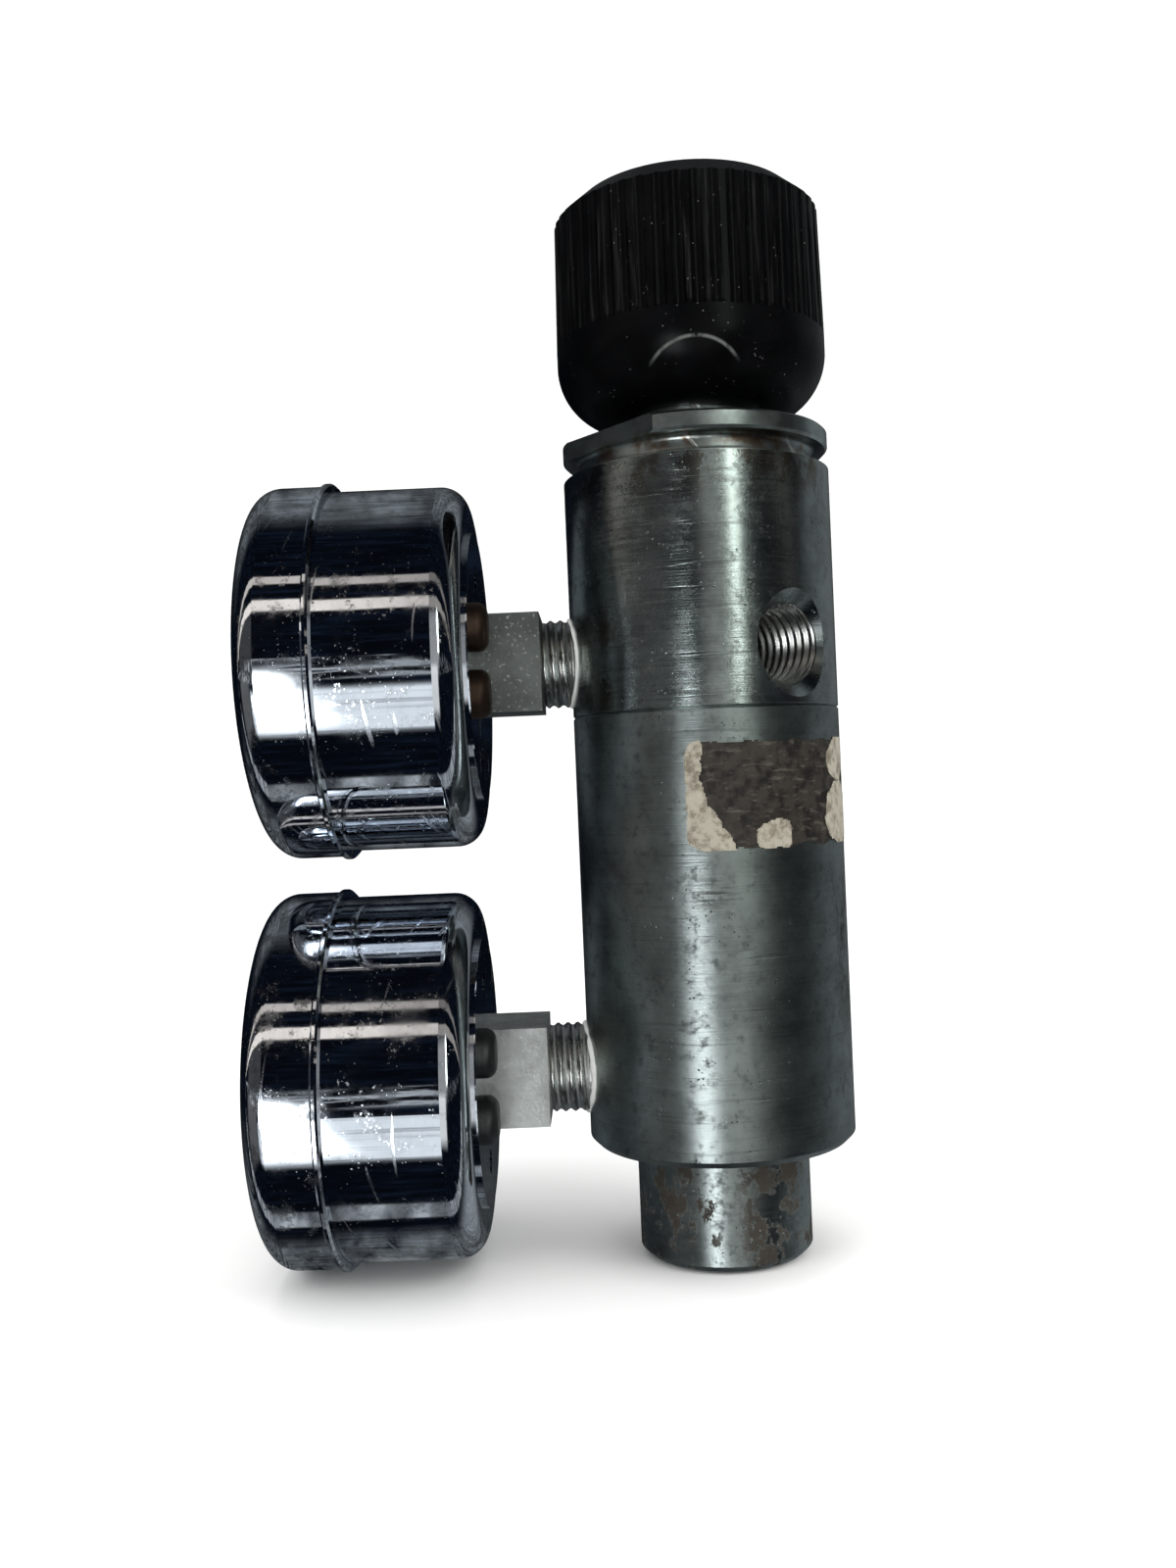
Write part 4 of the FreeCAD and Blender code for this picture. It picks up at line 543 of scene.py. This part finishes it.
class RegulatorSizes(bpy.types.PropertyGroup):
    """Sizes of what the scene adds to the solids"""

    thread_pitch: bpy.props.FloatProperty(
        name="Thread pitch", description="Pitch of the quarter inch pipe threads",
        default=1.411 * MM, unit="LENGTH", precision=5,
    )
    stem_crest: bpy.props.FloatProperty(
        name="Stem crest radius", description="Radius over the crests of a gauge's thread",
        default=6.34 * MM, unit="LENGTH", precision=5,
    )
    stem_root: bpy.props.FloatProperty(
        name="Stem root radius", description="Radius at the roots of a gauge's thread",
        default=5.95 * MM, unit="LENGTH", precision=5,
    )
    port_crest: bpy.props.FloatProperty(
        name="Port crest radius", description="Radius at the crests of a port's thread",
        default=5.05 * MM, unit="LENGTH", precision=5,
    )
    port_root: bpy.props.FloatProperty(
        name="Port root radius", description="Radius at the roots of a port's thread",
        default=5.53 * MM, unit="LENGTH", precision=5,
    )
    tick_length: bpy.props.FloatProperty(
        name="Tick length", description="Length of a numbered tick on a dial",
        default=2.6 * MM, unit="LENGTH", precision=5,
    )
    number_height: bpy.props.FloatProperty(
        name="Number height", description="Height of the numbers on a dial",
        default=3.4 * MM, unit="LENGTH", precision=5,
    )
    residue_height: bpy.props.FloatProperty(
        name="Residue height", description="Height of the torn sticker's remains",
        default=14.6 * MM, unit="LENGTH", precision=5,
    )


class RegulatorColours(bpy.types.PropertyGroup):
    """Main colours of the finishes"""

    body: bpy.props.FloatVectorProperty(
        name="Body", description="Colour of the turned body", size=3, min=0, max=1,
        default=(0.36, 0.4, 0.39), subtype="COLOR",
    )
    chrome: bpy.props.FloatVectorProperty(
        name="Chrome", description="Colour of the gauges' plate", size=3, min=0, max=1,
        default=(0.74, 0.78, 0.84), subtype="COLOR",
    )
    knob: bpy.props.FloatVectorProperty(
        name="Knob", description="Colour of the moulded knob", size=3, min=0, max=1,
        default=(0.0014, 0.0015, 0.0018), subtype="COLOR",
    )
    dial: bpy.props.FloatVectorProperty(
        name="Dial", description="Colour of the dials", size=3, min=0, max=1,
        default=(0.86, 0.86, 0.83), subtype="COLOR",
    )
    floor: bpy.props.FloatVectorProperty(
        name="Floor", description="Colour of the floor", size=3, min=0, max=1,
        default=(0.9, 0.9, 0.895), subtype="COLOR",
    )


class REGULATOR_OT_body(bpy.types.Operator):
    """Finishes of both body halves, the boss and the cap"""

    bl_idname = "regulator.body"
    bl_label = "Body and cap"

    def execute(self, context):
        colour = context.scene.regulator_colours.body
        dress("upper_body", turned_steel("upper_body_steel", colour, -0.03))
        dress("lower_body", turned_steel("lower_body_steel", colour, 0.12))
        dress("bonnet_cap", cap_steel("cap_steel", tint(colour, 1.3)))
        return {"FINISHED"}


class REGULATOR_OT_knob(bpy.types.Operator):
    """Finish of the moulded knob and its insert"""

    bl_idname = "regulator.knob"
    bl_label = "Knob"

    def execute(self, context):
        dress("knob", moulded_plastic("knob_plastic", context.scene.regulator_colours.knob))
        dress("knob_insert", plain_metal("insert_brass", (0.72, 0.52, 0.24)))
        return {"FINISHED"}


class REGULATOR_OT_valve_train(bpy.types.Operator):
    """Finishes of the parts inside the body"""

    bl_idname = "regulator.valve_train"
    bl_label = "Valve train"

    def execute(self, context):
        machined = plain_metal("machined_steel", (0.56, 0.57, 0.57), 0.25, marks=(1, 1, 8))
        wire = plain_metal("spring_wire", (0.36, 0.37, 0.4), 0.3, 1400.0)
        seal = rubber("seal_rubber")
        nylon = painted("seat_plastic", (0.8, 0.79, 0.72), 0.4, (0.5, 0.5, 0.48))
        bronze = plain_metal("sintered_bronze", (0.42, 0.3, 0.15), 0.5, 2600.0)
        for node in ("filter_ring", "seat_retainer", "poppet", "piston", "spring_button",
                     "thrust_ball", "adjusting_screw"):
            dress(node, machined)
        for node in ("poppet_spring", "range_spring"):
            dress(node, wire)
        self.stretching_spring()
        for node in ("body_seal", "piston_seal"):
            dress(node, seal)
        dress("valve_seat", nylon)
        dress("inlet_filter", bronze)
        return {"FINISHED"}

    @staticmethod
    def stretching_spring():
        """The range spring again, as an object of its own, with the part itself hidden."""
        coil = new_object("range_spring_coil", NODES["range_spring"].data.copy())
        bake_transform(coil)
        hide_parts("range_spring")


class REGULATOR_OT_gauges(bpy.types.Operator):
    """Finishes of both gauges' cases, bezels, squares, screws and movements"""

    bl_idname = "regulator.gauges"
    bl_label = "Gauges"

    def execute(self, context):
        colours = context.scene.regulator_colours
        brass = plain_metal("movement_brass", (0.74, 0.56, 0.27), 0.22, 900.0)
        shared = {
            "case": chrome("case_chrome", colours.chrome, 0.5, 0.35),
            "bezel": chrome("bezel_chrome", colours.chrome, 2.2, 0.7),
            "gasket": rubber("gasket_rubber"),
            "window": window_glass("window_glass"),
            "dial": painted("dial_paint", colours.dial, 0.4, (0.7, 0.7, 0.68)),
            "pointer": painted("pointer_paint", (0.015, 0.015, 0.015), 0.4, (0.1, 0.1, 0.1)),
        }
        for part in ("dial_posts", "dial_screws", "back_plate", "front_plate", "pillars",
                     "pinion", "sector", "link", "tube", "tube_tip", "hairspring"):
            shared[part] = brass
        for gauge in GAUGES:
            for part, material in shared.items():
                dress(f"{gauge}_{part}", material)
        for gauge, square, sparkle, screw in (
            ("outlet_gauge", (0.2, 0.215, 0.21), 0.75, (0.15, 0.1, 0.075)),
            ("inlet_gauge", (0.6, 0.62, 0.61), 0.8, (0.16, 0.17, 0.17)),
        ):
            side = gauge.removesuffix("_gauge")
            dress(f"{gauge}_socket", blasted_zinc(f"{side}_square_zinc", square, sparkle))
            dress(f"{gauge}_back_screws", plain_metal(f"{side}_screw_steel", screw, 0.4))
        return {"FINISHED"}


class REGULATOR_OT_threads(bpy.types.Operator):
    """Threads that show: on both gauges' stems and in both ports"""

    bl_idname = "regulator.threads"
    bl_label = "Threads"

    def execute(self, context):
        sizes = context.scene.regulator_sizes
        bright = plain_metal("thread_steel", (0.62, 0.62, 0.6), 0.16, 1500.0, (6, 1, 1))
        for gauge in GAUGES:
            start = self.square_end(gauge)
            # the thread goes a little way into the round of the body
            length = -BODY_RADIUS - start + 1.1 * MM
            towards_body = Matrix.Rotation(math.pi / 2, 4, "Y")
            place = Matrix.Translation((start, 0, gauge_level(gauge))) @ towards_body
            mesh = thread_mesh(length, sizes.thread_pitch, sizes.stem_root, sizes.stem_crest, place)
            new_piece(f"{gauge}_stem_thread", mesh, bright)
        # the outlet's thread starts at its deep end, the inlet's over its countersink
        deep_end, countersink = 6.2 * MM, 1.8 * MM
        outward = Vector((math.cos(OUTLET_PORT_BEARING), math.sin(OUTLET_PORT_BEARING), 0))
        turn = outward.to_track_quat("Z", "Y").to_matrix().to_4x4()
        outlet_start = outward * deep_end + Vector((0, 0, OUTLET_PORT_LEVEL))
        inlet_start = Vector((0, 0, BOSS_LEVEL + countersink))
        for port, length, place in (
            ("outlet_port", 10.9 * MM, Matrix.Translation(outlet_start) @ turn),
            ("inlet_port", 10.8 * MM, Matrix.Translation(inlet_start)),
        ):
            mesh = thread_mesh(length, sizes.thread_pitch, sizes.port_root, sizes.port_crest, place)
            new_piece(f"{port}_thread", mesh, bright)
        return {"FINISHED"}

    @staticmethod
    def square_end(gauge):
        """Where a gauge's wrench square ends towards the body, along X."""
        beyond_stem = 6.7 * MM
        mesh = NODES[f"{gauge}_socket"].data
        return max(v.co.x for v in mesh.vertices if abs(v.co.y) > beyond_stem)


class REGULATOR_OT_sealant(bpy.types.Operator):
    """Thread sealant where the gauges enter the body"""

    bl_idname = "regulator.sealant"
    bl_label = "Thread sealant"

    def execute(self, context):
        white = painted("dried_sealant", (0.72, 0.73, 0.71), 0.5, (0.4, 0.4, 0.4))
        for gauge, swell, seed in (("outlet_gauge", 0.12, 3.0), ("inlet_gauge", 0.34, 11.0)):
            ring = self.ring(gauge_level(gauge), swell, seed)
            new_piece(f"{gauge}_sealant", ring, white)
        return {"FINISHED"}

    @staticmethod
    def ring(level, swell, seed):
        """A ragged bead round a stem, on the round of the body where the stem goes in."""
        around, section = 120, 10
        thinnest = 0.16

        def point(row, column):
            angle, turn = math.tau * row / around, math.tau * column / section
            ragged = noise.noise(Vector((3 * math.cos(angle), 3 * math.sin(angle), seed)))
            size = (thinnest + swell * (0.5 + ragged)) * MM
            radius = STEM_RADIUS + size * math.cos(turn)
            across, up = radius * math.cos(angle), radius * math.sin(angle)
            skin = math.sqrt(BODY_RADIUS**2 - across**2)
            out = -skin - 0.1 * MM + size * 1.3 * math.sin(turn)
            return Vector((out, across, level + up))

        return grid_mesh(around, section, point, wrap=True, close=True)


class REGULATOR_OT_residue(bpy.types.Operator):
    """Remains of a torn, blank sticker on the lower body"""

    bl_idname = "regulator.residue"
    bl_label = "Sticker remains"

    # Bearings of both ends, from the front towards the right, and the patch's width in heights.
    first, last = math.radians(-13.5), math.radians(92)
    wide = 2.45
    corner = 0.16

    def execute(self, context):
        glue = old_adhesive("old_adhesive", (0.03, 0.024, 0.018))
        paper = torn_paper("torn_paper", (0.3, 0.28, 0.225))
        height = context.scene.regulator_sizes.residue_height
        for name, lift, wanted, material in (
            ("sticker_adhesive", 0.035 * MM, self.has_glue, glue),
            ("sticker_paper", 0.11 * MM, self.has_paper, paper),
        ):
            new_piece(name, self.patch(height, BODY_RADIUS + lift, wanted), material)
        return {"FINISHED"}

    def inside(self, across, up, ragged):
        """How far a place is inside the sticker's rounded outline, in heights."""
        over = max(self.corner - across * self.wide,
                   across * self.wide - self.wide + self.corner, 0.0)
        high = max(self.corner - up, up - 1 + self.corner, 0.0)
        return self.corner - math.hypot(over, high) + ragged

    def has_glue(self, across, up, grain):
        """Whether adhesive is left: nearly all of the sticker's outline."""
        return self.inside(across, up, 0.03 * grain) > 0.02

    def has_paper(self, across, up, grain):
        """Whether paper is left: a curved strip at the left end and three blots."""
        if self.inside(across, up, 0.02 * grain) < 0.0:
            return False
        depth = 0.115 + 0.06 * math.cos(math.pi * min(up / 0.65, 1.0)) - across
        for radius, middle, level, flatness in (
            (0.07, 0.335, 0.12, 0.5), (0.1, 0.74, 0.8, 0.5), (0.13, 0.74, 0.28, 0.42),
        ):
            lobe = radius - math.hypot(across - middle, (up - level) * flatness)
            depth = max(depth, lobe)
        return depth + 0.022 * grain > 0.0

    def patch(self, height, radius, wanted):
        """A thin curved sheet over the body where a function of the place says so."""
        columns, rows = 190, 74
        top = JOINT_LEVEL - 4.4 * MM
        made = bmesh.new()
        verts = {}

        def vert(c, r):
            if (c, r) not in verts:
                bearing = self.first + (self.last - self.first) * c / columns
                verts[c, r] = made.verts.new((
                    radius * math.sin(bearing), -radius * math.cos(bearing),
                    top - height * r / rows,
                ))
            return verts[c, r]

        for c in range(columns):
            for r in range(rows):
                across, up = (c + 0.5) / columns, 1 - (r + 0.5) / rows
                grain = noise.fractal(Vector((across * 11, up * 4.6, 4.0)), 0.9, 2.1, 4)
                if wanted(across, up, grain):
                    made.faces.new((vert(c, r), vert(c, r + 1), vert(c + 1, r + 1), vert(c + 1, r)))
        return made


class REGULATOR_OT_dials(bpy.types.Operator):
    """Ticks, arcs and plain numbers on both dials"""

    bl_idname = "regulator.dials"
    bl_label = "Dials"

    def execute(self, context):
        ink = painted("dial_ink", (0.02, 0.02, 0.022), 0.5, (0.1, 0.1, 0.1))
        sizes = context.scene.regulator_sizes
        for gauge, step, steps in (("outlet_gauge", 20, 5), ("inlet_gauge", 500, 6)):
            marks = bmesh.new()
            self.ticks(marks, sizes.tick_length, steps)
            for index in range(steps + 1):
                self.number(marks, str(index * step), index / steps, sizes.number_height)
            # dial space: X to the reader's right, Y up, Z out of the dial
            to_row = Matrix(((0, 0, -1, self.front(gauge)), (-1, 0, 0, 0),
                             (0, 1, 0, gauge_level(gauge)), (0, 0, 0, 1)))
            bmesh.ops.transform(marks, matrix=to_row, verts=marks.verts)
            new_piece(f"{gauge}_dial_marks", marks, ink, smooth=False)
        return {"FINISHED"}

    @staticmethod
    def front(gauge):
        """Just in front of the dial's printed face, along X."""
        clear_of_middle, ink = 20 * MM, 0.02 * MM
        level = gauge_level(gauge)
        return min(v.co.x for v in NODES[f"{gauge}_dial"].data.vertices
                   if abs(v.co.y) > clear_of_middle or abs(v.co.z - level) > clear_of_middle) - ink

    @staticmethod
    def outward(share):
        """The direction of a share of the scale, from lower left clockwise to lower right."""
        angle = math.radians(225 - 270 * share)
        return Vector((math.cos(angle), math.sin(angle), 0))

    def ticks(self, marks, longest, steps):
        """Ten ticks to a step, the fifth and tenth longer and wider, and the arc they hang on."""
        outer, arc_width, arc_parts = 22.6 * MM, 0.22 * MM, 180
        for index in range(10 * steps + 1):
            out = self.outward(index / (10 * steps))
            share, half = 0.5, 0.1 * MM
            if index % 10 == 0:
                share, half = 1.0, 0.28 * MM
            elif index % 5 == 0:
                share, half = 0.75, 0.18 * MM
            inner = outer - longest * share
            side = Vector((-out.y, out.x, 0)) * half
            corners = (out * outer - side, out * outer + side,
                       out * inner + side, out * inner - side)
            marks.faces.new([marks.verts.new(c) for c in corners])
        arc = []
        for index in range(arc_parts + 1):
            out = self.outward(index / arc_parts)
            arc.append((marks.verts.new(out * outer), marks.verts.new(out * (outer + arc_width))))
        for (a, b), (c, d) in zip(arc, arc[1:]):
            marks.faces.new((a, b, d, c))

    def number(self, marks, words, share, height):
        """A number beside its tick; a longer one stands further in, clear of the ticks."""
        curve = bpy.data.curves.new(f"number_{words}", "FONT")
        curve.body = words
        curve.size = height * 1.35
        curve.align_x = "CENTER"
        curve.align_y = "CENTER"
        writing = new_object(curve.name, curve)
        bpy.context.view_layer.update()
        mesh = bpy.data.meshes.new_from_object(writing)
        bpy.data.objects.remove(writing)
        reach = (17.4 - 0.6 * len(words)) * MM
        mesh.transform(Matrix.Translation(self.outward(share) * reach))
        marks.from_mesh(mesh)
        bpy.data.meshes.remove(mesh)
        bpy.data.curves.remove(curve)


class REGULATOR_OT_studio(bpy.types.Operator):
    """Floor, room, lights and camera"""

    bl_idname = "regulator.studio"
    bl_label = "Studio"

    def execute(self, context):
        self.floor(context.scene.regulator_colours.floor)
        self.room(context.scene)
        self.lights()
        self.camera(context.scene)
        context.scene.view_settings.view_transform = "Standard"
        return {"FINISHED"}

    @staticmethod
    def floor(colour):
        """A pale floor, flat under the object and swept up far behind it."""
        paint = Finish("pale_floor")
        mottle = paint.noise(6.0, 3.0)
        material = paint.finish(
            Base_Color=paint.mix(mottle * 0.2, tint(colour), tint(colour, 0.97)),
            Roughness=0.85,
            Specular_IOR_Level=0.1,
        )
        front, flat, bend, high, half_width, bend_parts = -4.0, 1.3, 0.7, 2.5, 5.0, 16
        profile = [(front, 0.0), (flat, 0.0)]
        for step in range(1, bend_parts + 1):
            turn = math.pi / 2 * step / bend_parts
            profile.append((flat + bend * math.sin(turn), bend * (1 - math.cos(turn))))
        profile.append((flat + bend, high))
        made = grid_mesh(len(profile), 2, lambda row, column: Vector(
            ((column * 2 - 1) * half_width, profile[row][0], profile[row][1] + FLOOR_LEVEL)))
        floor = new_object("floor", as_mesh("floor", made, material))
        floor.visible_glossy = False

    @staticmethod
    def room(scene):
        """What the metal reflects: a dim room with bright strips, and a paler side behind."""
        scene.world = scene.world or bpy.data.worlds.new("room")
        scene.world.use_nodes = True
        sheet = Sheet(scene.world.node_tree, "Generated")
        east, north, up = (sheet.axis(letter) for letter in "XYZ")
        front = 0.0 - north
        in_front = front.between(-0.02, 0.05)
        elevation = sheet.maths("ARCTAN2", up, front) * DEGREES_PER_RADIAN
        azimuth = sheet.maths("ARCTAN2", east, front) * DEGREES_PER_RADIAN
        wobble = sheet.noise(2.6, 3.0, 0.6)
        fine = sheet.noise(18.0, 4.0, 0.7)
        lines = sheet.streaks((55, 1, 1), 3.0, 0.7)
        ripples = sheet.streaks((2, 14, 22), 3.0, 0.6)
        elevation = elevation + (wobble - 0.5) * 5.0
        dark, darkest = (0.008, 0.013, 0.026, 1), (0.002, 0.003, 0.005, 1)
        warm, cold, plain = (1.1, 1.0, 0.9, 1), (0.92, 0.97, 1.0, 1), (1.0, 1.0, 0.98, 1)
        tone = sheet.mix(fine.between(0.45, 0.7), darkest, dark)
        # behind: a dim wall above, a mottled table below, a paler side to the right
        wall = up.between(0.2, 0.75) * (lines.between(0.35, 0.65) * 0.16 + 0.08)
        table = up.between(-0.15, -0.5) * lines.between(0.3, 0.7) * 0.25
        behind = north.between(0.0, 0.4) * (wall + table) * fine.between(0.2, 0.6)
        side = north.between(-0.1, 0.3) * east.between(0.2, 0.6) * 0.2
        tone = sheet.mix(sheet.maths("MINIMUM", behind + side, 1.0), tone, (0.9, 0.97, 1.0, 1))
        # in front: strips across the gauges' cases, by elevation, half width and strength
        left_side = east.between(-0.02, -0.22) * 0.7 + 0.3
        glare = azimuth.near(-17.0, 19.0).between(0.0, 0.35)
        for middle, reach, share, colour in (
            (53.5, 3.6, left_side * 0.6, warm),
            (37.5, 4.6, left_side, warm),
            (97.0, 9.0, lines.between(0.45, 0.7) * 0.12, cold),
            (-2.5, 7.0, fine.between(0.48, 0.6) * left_side * 0.6, cold),
            (-27.0, 17.5, glare * (ripples.between(0.28, 0.5) * 0.75 + 0.25), cold),
            (-79.0, 8.0, lines.between(0.35, 0.65) * 0.6, cold),
        ):
            strip = elevation.near(middle, reach).between(0.0, 0.25) * in_front
            tone = sheet.mix(strip * share, tone, colour)
        # a dim glow to both sides of what the gauges' cases mirror, for the turned body
        glow = azimuth.near(-47.0, 34.0).between(0.0, 0.3) * 0.055
        glow = glow + azimuth.near(12.0, 18.0).between(0.0, 0.3) * 0.34
        glow = glow * up.between(-0.2, 0.0) * up.between(0.6, 0.4) * in_front
        tone = sheet.mix(glow, tone, plain)
        # and a lower one, for the part of the body that is below the camera
        low_glow = azimuth.near(9.0, 15.0).between(0.0, 0.4) * 0.8
        low_glow = low_glow + azimuth.near(-55.0, 28.0).between(0.0, 0.4) * 0.12
        low_glow = low_glow * up.between(0.0, -0.08) * up.between(-0.6, -0.45) * in_front
        tone = sheet.mix(low_glow, tone, plain)
        # a bright lamp low at the left of the front, and a window at its right
        lamp = azimuth.near(-17.9, 6.6).between(0.0, 0.8)
        lamp = lamp * elevation.near(-19.0, 22.0).between(0.0, 0.5)
        tone = sheet.mix(lamp, tone, (17.0, 17.6, 17.8, 1))
        window = azimuth.near(26.5, 2.6).between(0.0, 0.4) * up.between(0.03, 0.1)
        window = window * up.between(0.55, 0.4) * (ripples.between(0.3, 0.5) * 0.5 + 0.5)
        tone = sheet.mix(window, tone, (9.5, 10.2, 9.5, 1))
        # matt faces and the picture's background see an even white room
        matt = sheet.node("ShaderNodeLightPath", output="Is Diffuse Ray")
        seen = sheet.node("ShaderNodeLightPath", output="Is Camera Ray")
        tone = sheet.mix(matt, tone, (1.15, 1.15, 1.15, 1))
        tone = sheet.mix(seen, tone, (1.0, 1.0, 1.0, 1))
        back = sheet.node("ShaderNodeBackground", inputs={"Color": tone, "Strength": 1.0})
        output = sheet.tree.nodes.new("ShaderNodeOutputWorld")
        sheet.tree.links.new(back.socket, output.inputs["Surface"])

    @staticmethod
    def lights():
        """Soft square lamps round the object's middle, in degrees, metres and watts."""
        middle = Vector((0, 0, 75 * MM))
        for name, azimuth, elevation, distance, size, power, colour in (
            ("soft_left", -55, 30, 1.0, 0.5, 2.0, (0.96, 0.98, 1.0)),
            ("soft_right", 50, 35, 1.0, 0.5, 3.0, (1.0, 1.0, 0.98)),
            ("soft_top", 10, 78, 0.9, 0.6, 2.0, (1.0, 1.0, 1.0)),
        ):
            turn, rise = math.radians(azimuth), math.radians(elevation)
            away = Vector((math.sin(turn) * math.cos(rise), -math.cos(turn) * math.cos(rise),
                           math.sin(rise)))
            data = bpy.data.lights.new(name, "AREA")
            data.shape = "SQUARE"
            data.size = size
            data.energy = power
            data.color = colour
            lamp = new_object(name, data)
            lamp.location = middle + away * distance
            lamp.rotation_mode = "QUATERNION"
            lamp.rotation_quaternion = away.to_track_quat("Z", "Y")
            lamp.visible_camera = False
            lamp.visible_glossy = False

    @staticmethod
    def camera(scene):
        """The photograph's view, as fitted on the body's edges."""
        picture_height, focal_length = 1600, 1380.36
        data = bpy.data.cameras.new("camera")
        data.lens = 36.0 * focal_length / picture_height
        data.clip_start = 0.01
        camera = new_object("camera", data)
        yaw, pitch, roll = -0.009, -0.002, -0.042
        ahead = Vector((math.sin(yaw) * math.cos(pitch), math.cos(yaw) * math.cos(pitch),
                        math.sin(pitch)))
        level_right = Vector((math.cos(yaw), -math.sin(yaw), 0))
        level_up = level_right.cross(ahead)
        right = level_right * math.cos(roll) + level_up * math.sin(roll)
        up = level_up * math.cos(roll) - level_right * math.sin(roll)
        turn = Matrix((right, up, -ahead)).transposed().to_4x4()
        camera.matrix_world = Matrix.Translation((-15.6 * MM, -196.47 * MM, 67.76 * MM)) @ turn
        scene.camera = camera


class REGULATOR_PT_looks(bpy.types.Panel):
    """The regulator's pieces, in the order in which they are made"""

    bl_label = "Regulator"
    bl_idname = "REGULATOR_PT_looks"
    bl_space_type = "VIEW_3D"
    bl_region_type = "UI"
    bl_category = "Regulator"

    def draw(self, context):
        for group in (context.scene.regulator_sizes, context.scene.regulator_colours):
            for name in group.__annotations__:
                self.layout.prop(group, name)
        for step in STEPS:
            self.layout.operator(step.bl_idname)


STEPS = (
    REGULATOR_OT_studio,
    REGULATOR_OT_body,
    REGULATOR_OT_knob,
    REGULATOR_OT_valve_train,
    REGULATOR_OT_gauges,
    REGULATOR_OT_threads,
    REGULATOR_OT_sealant,
    REGULATOR_OT_residue,
    REGULATOR_OT_dials,
)
CLASSES = (RegulatorSizes, RegulatorColours, *STEPS, REGULATOR_PT_looks)


def register():
    for one in CLASSES:
        bpy.utils.register_class(one)
    bpy.types.Scene.regulator_sizes = bpy.props.PointerProperty(type=RegulatorSizes)
    bpy.types.Scene.regulator_colours = bpy.props.PointerProperty(type=RegulatorColours)


def unregister():
    del bpy.types.Scene.regulator_colours
    del bpy.types.Scene.regulator_sizes
    for one in reversed(CLASSES):
        bpy.utils.unregister_class(one)


def main():
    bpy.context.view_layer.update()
    register()
    for step in STEPS:
        group, name = step.bl_idname.split(".")
        getattr(getattr(bpy.ops, group), name)()


if __name__ == "__main__":
    main()
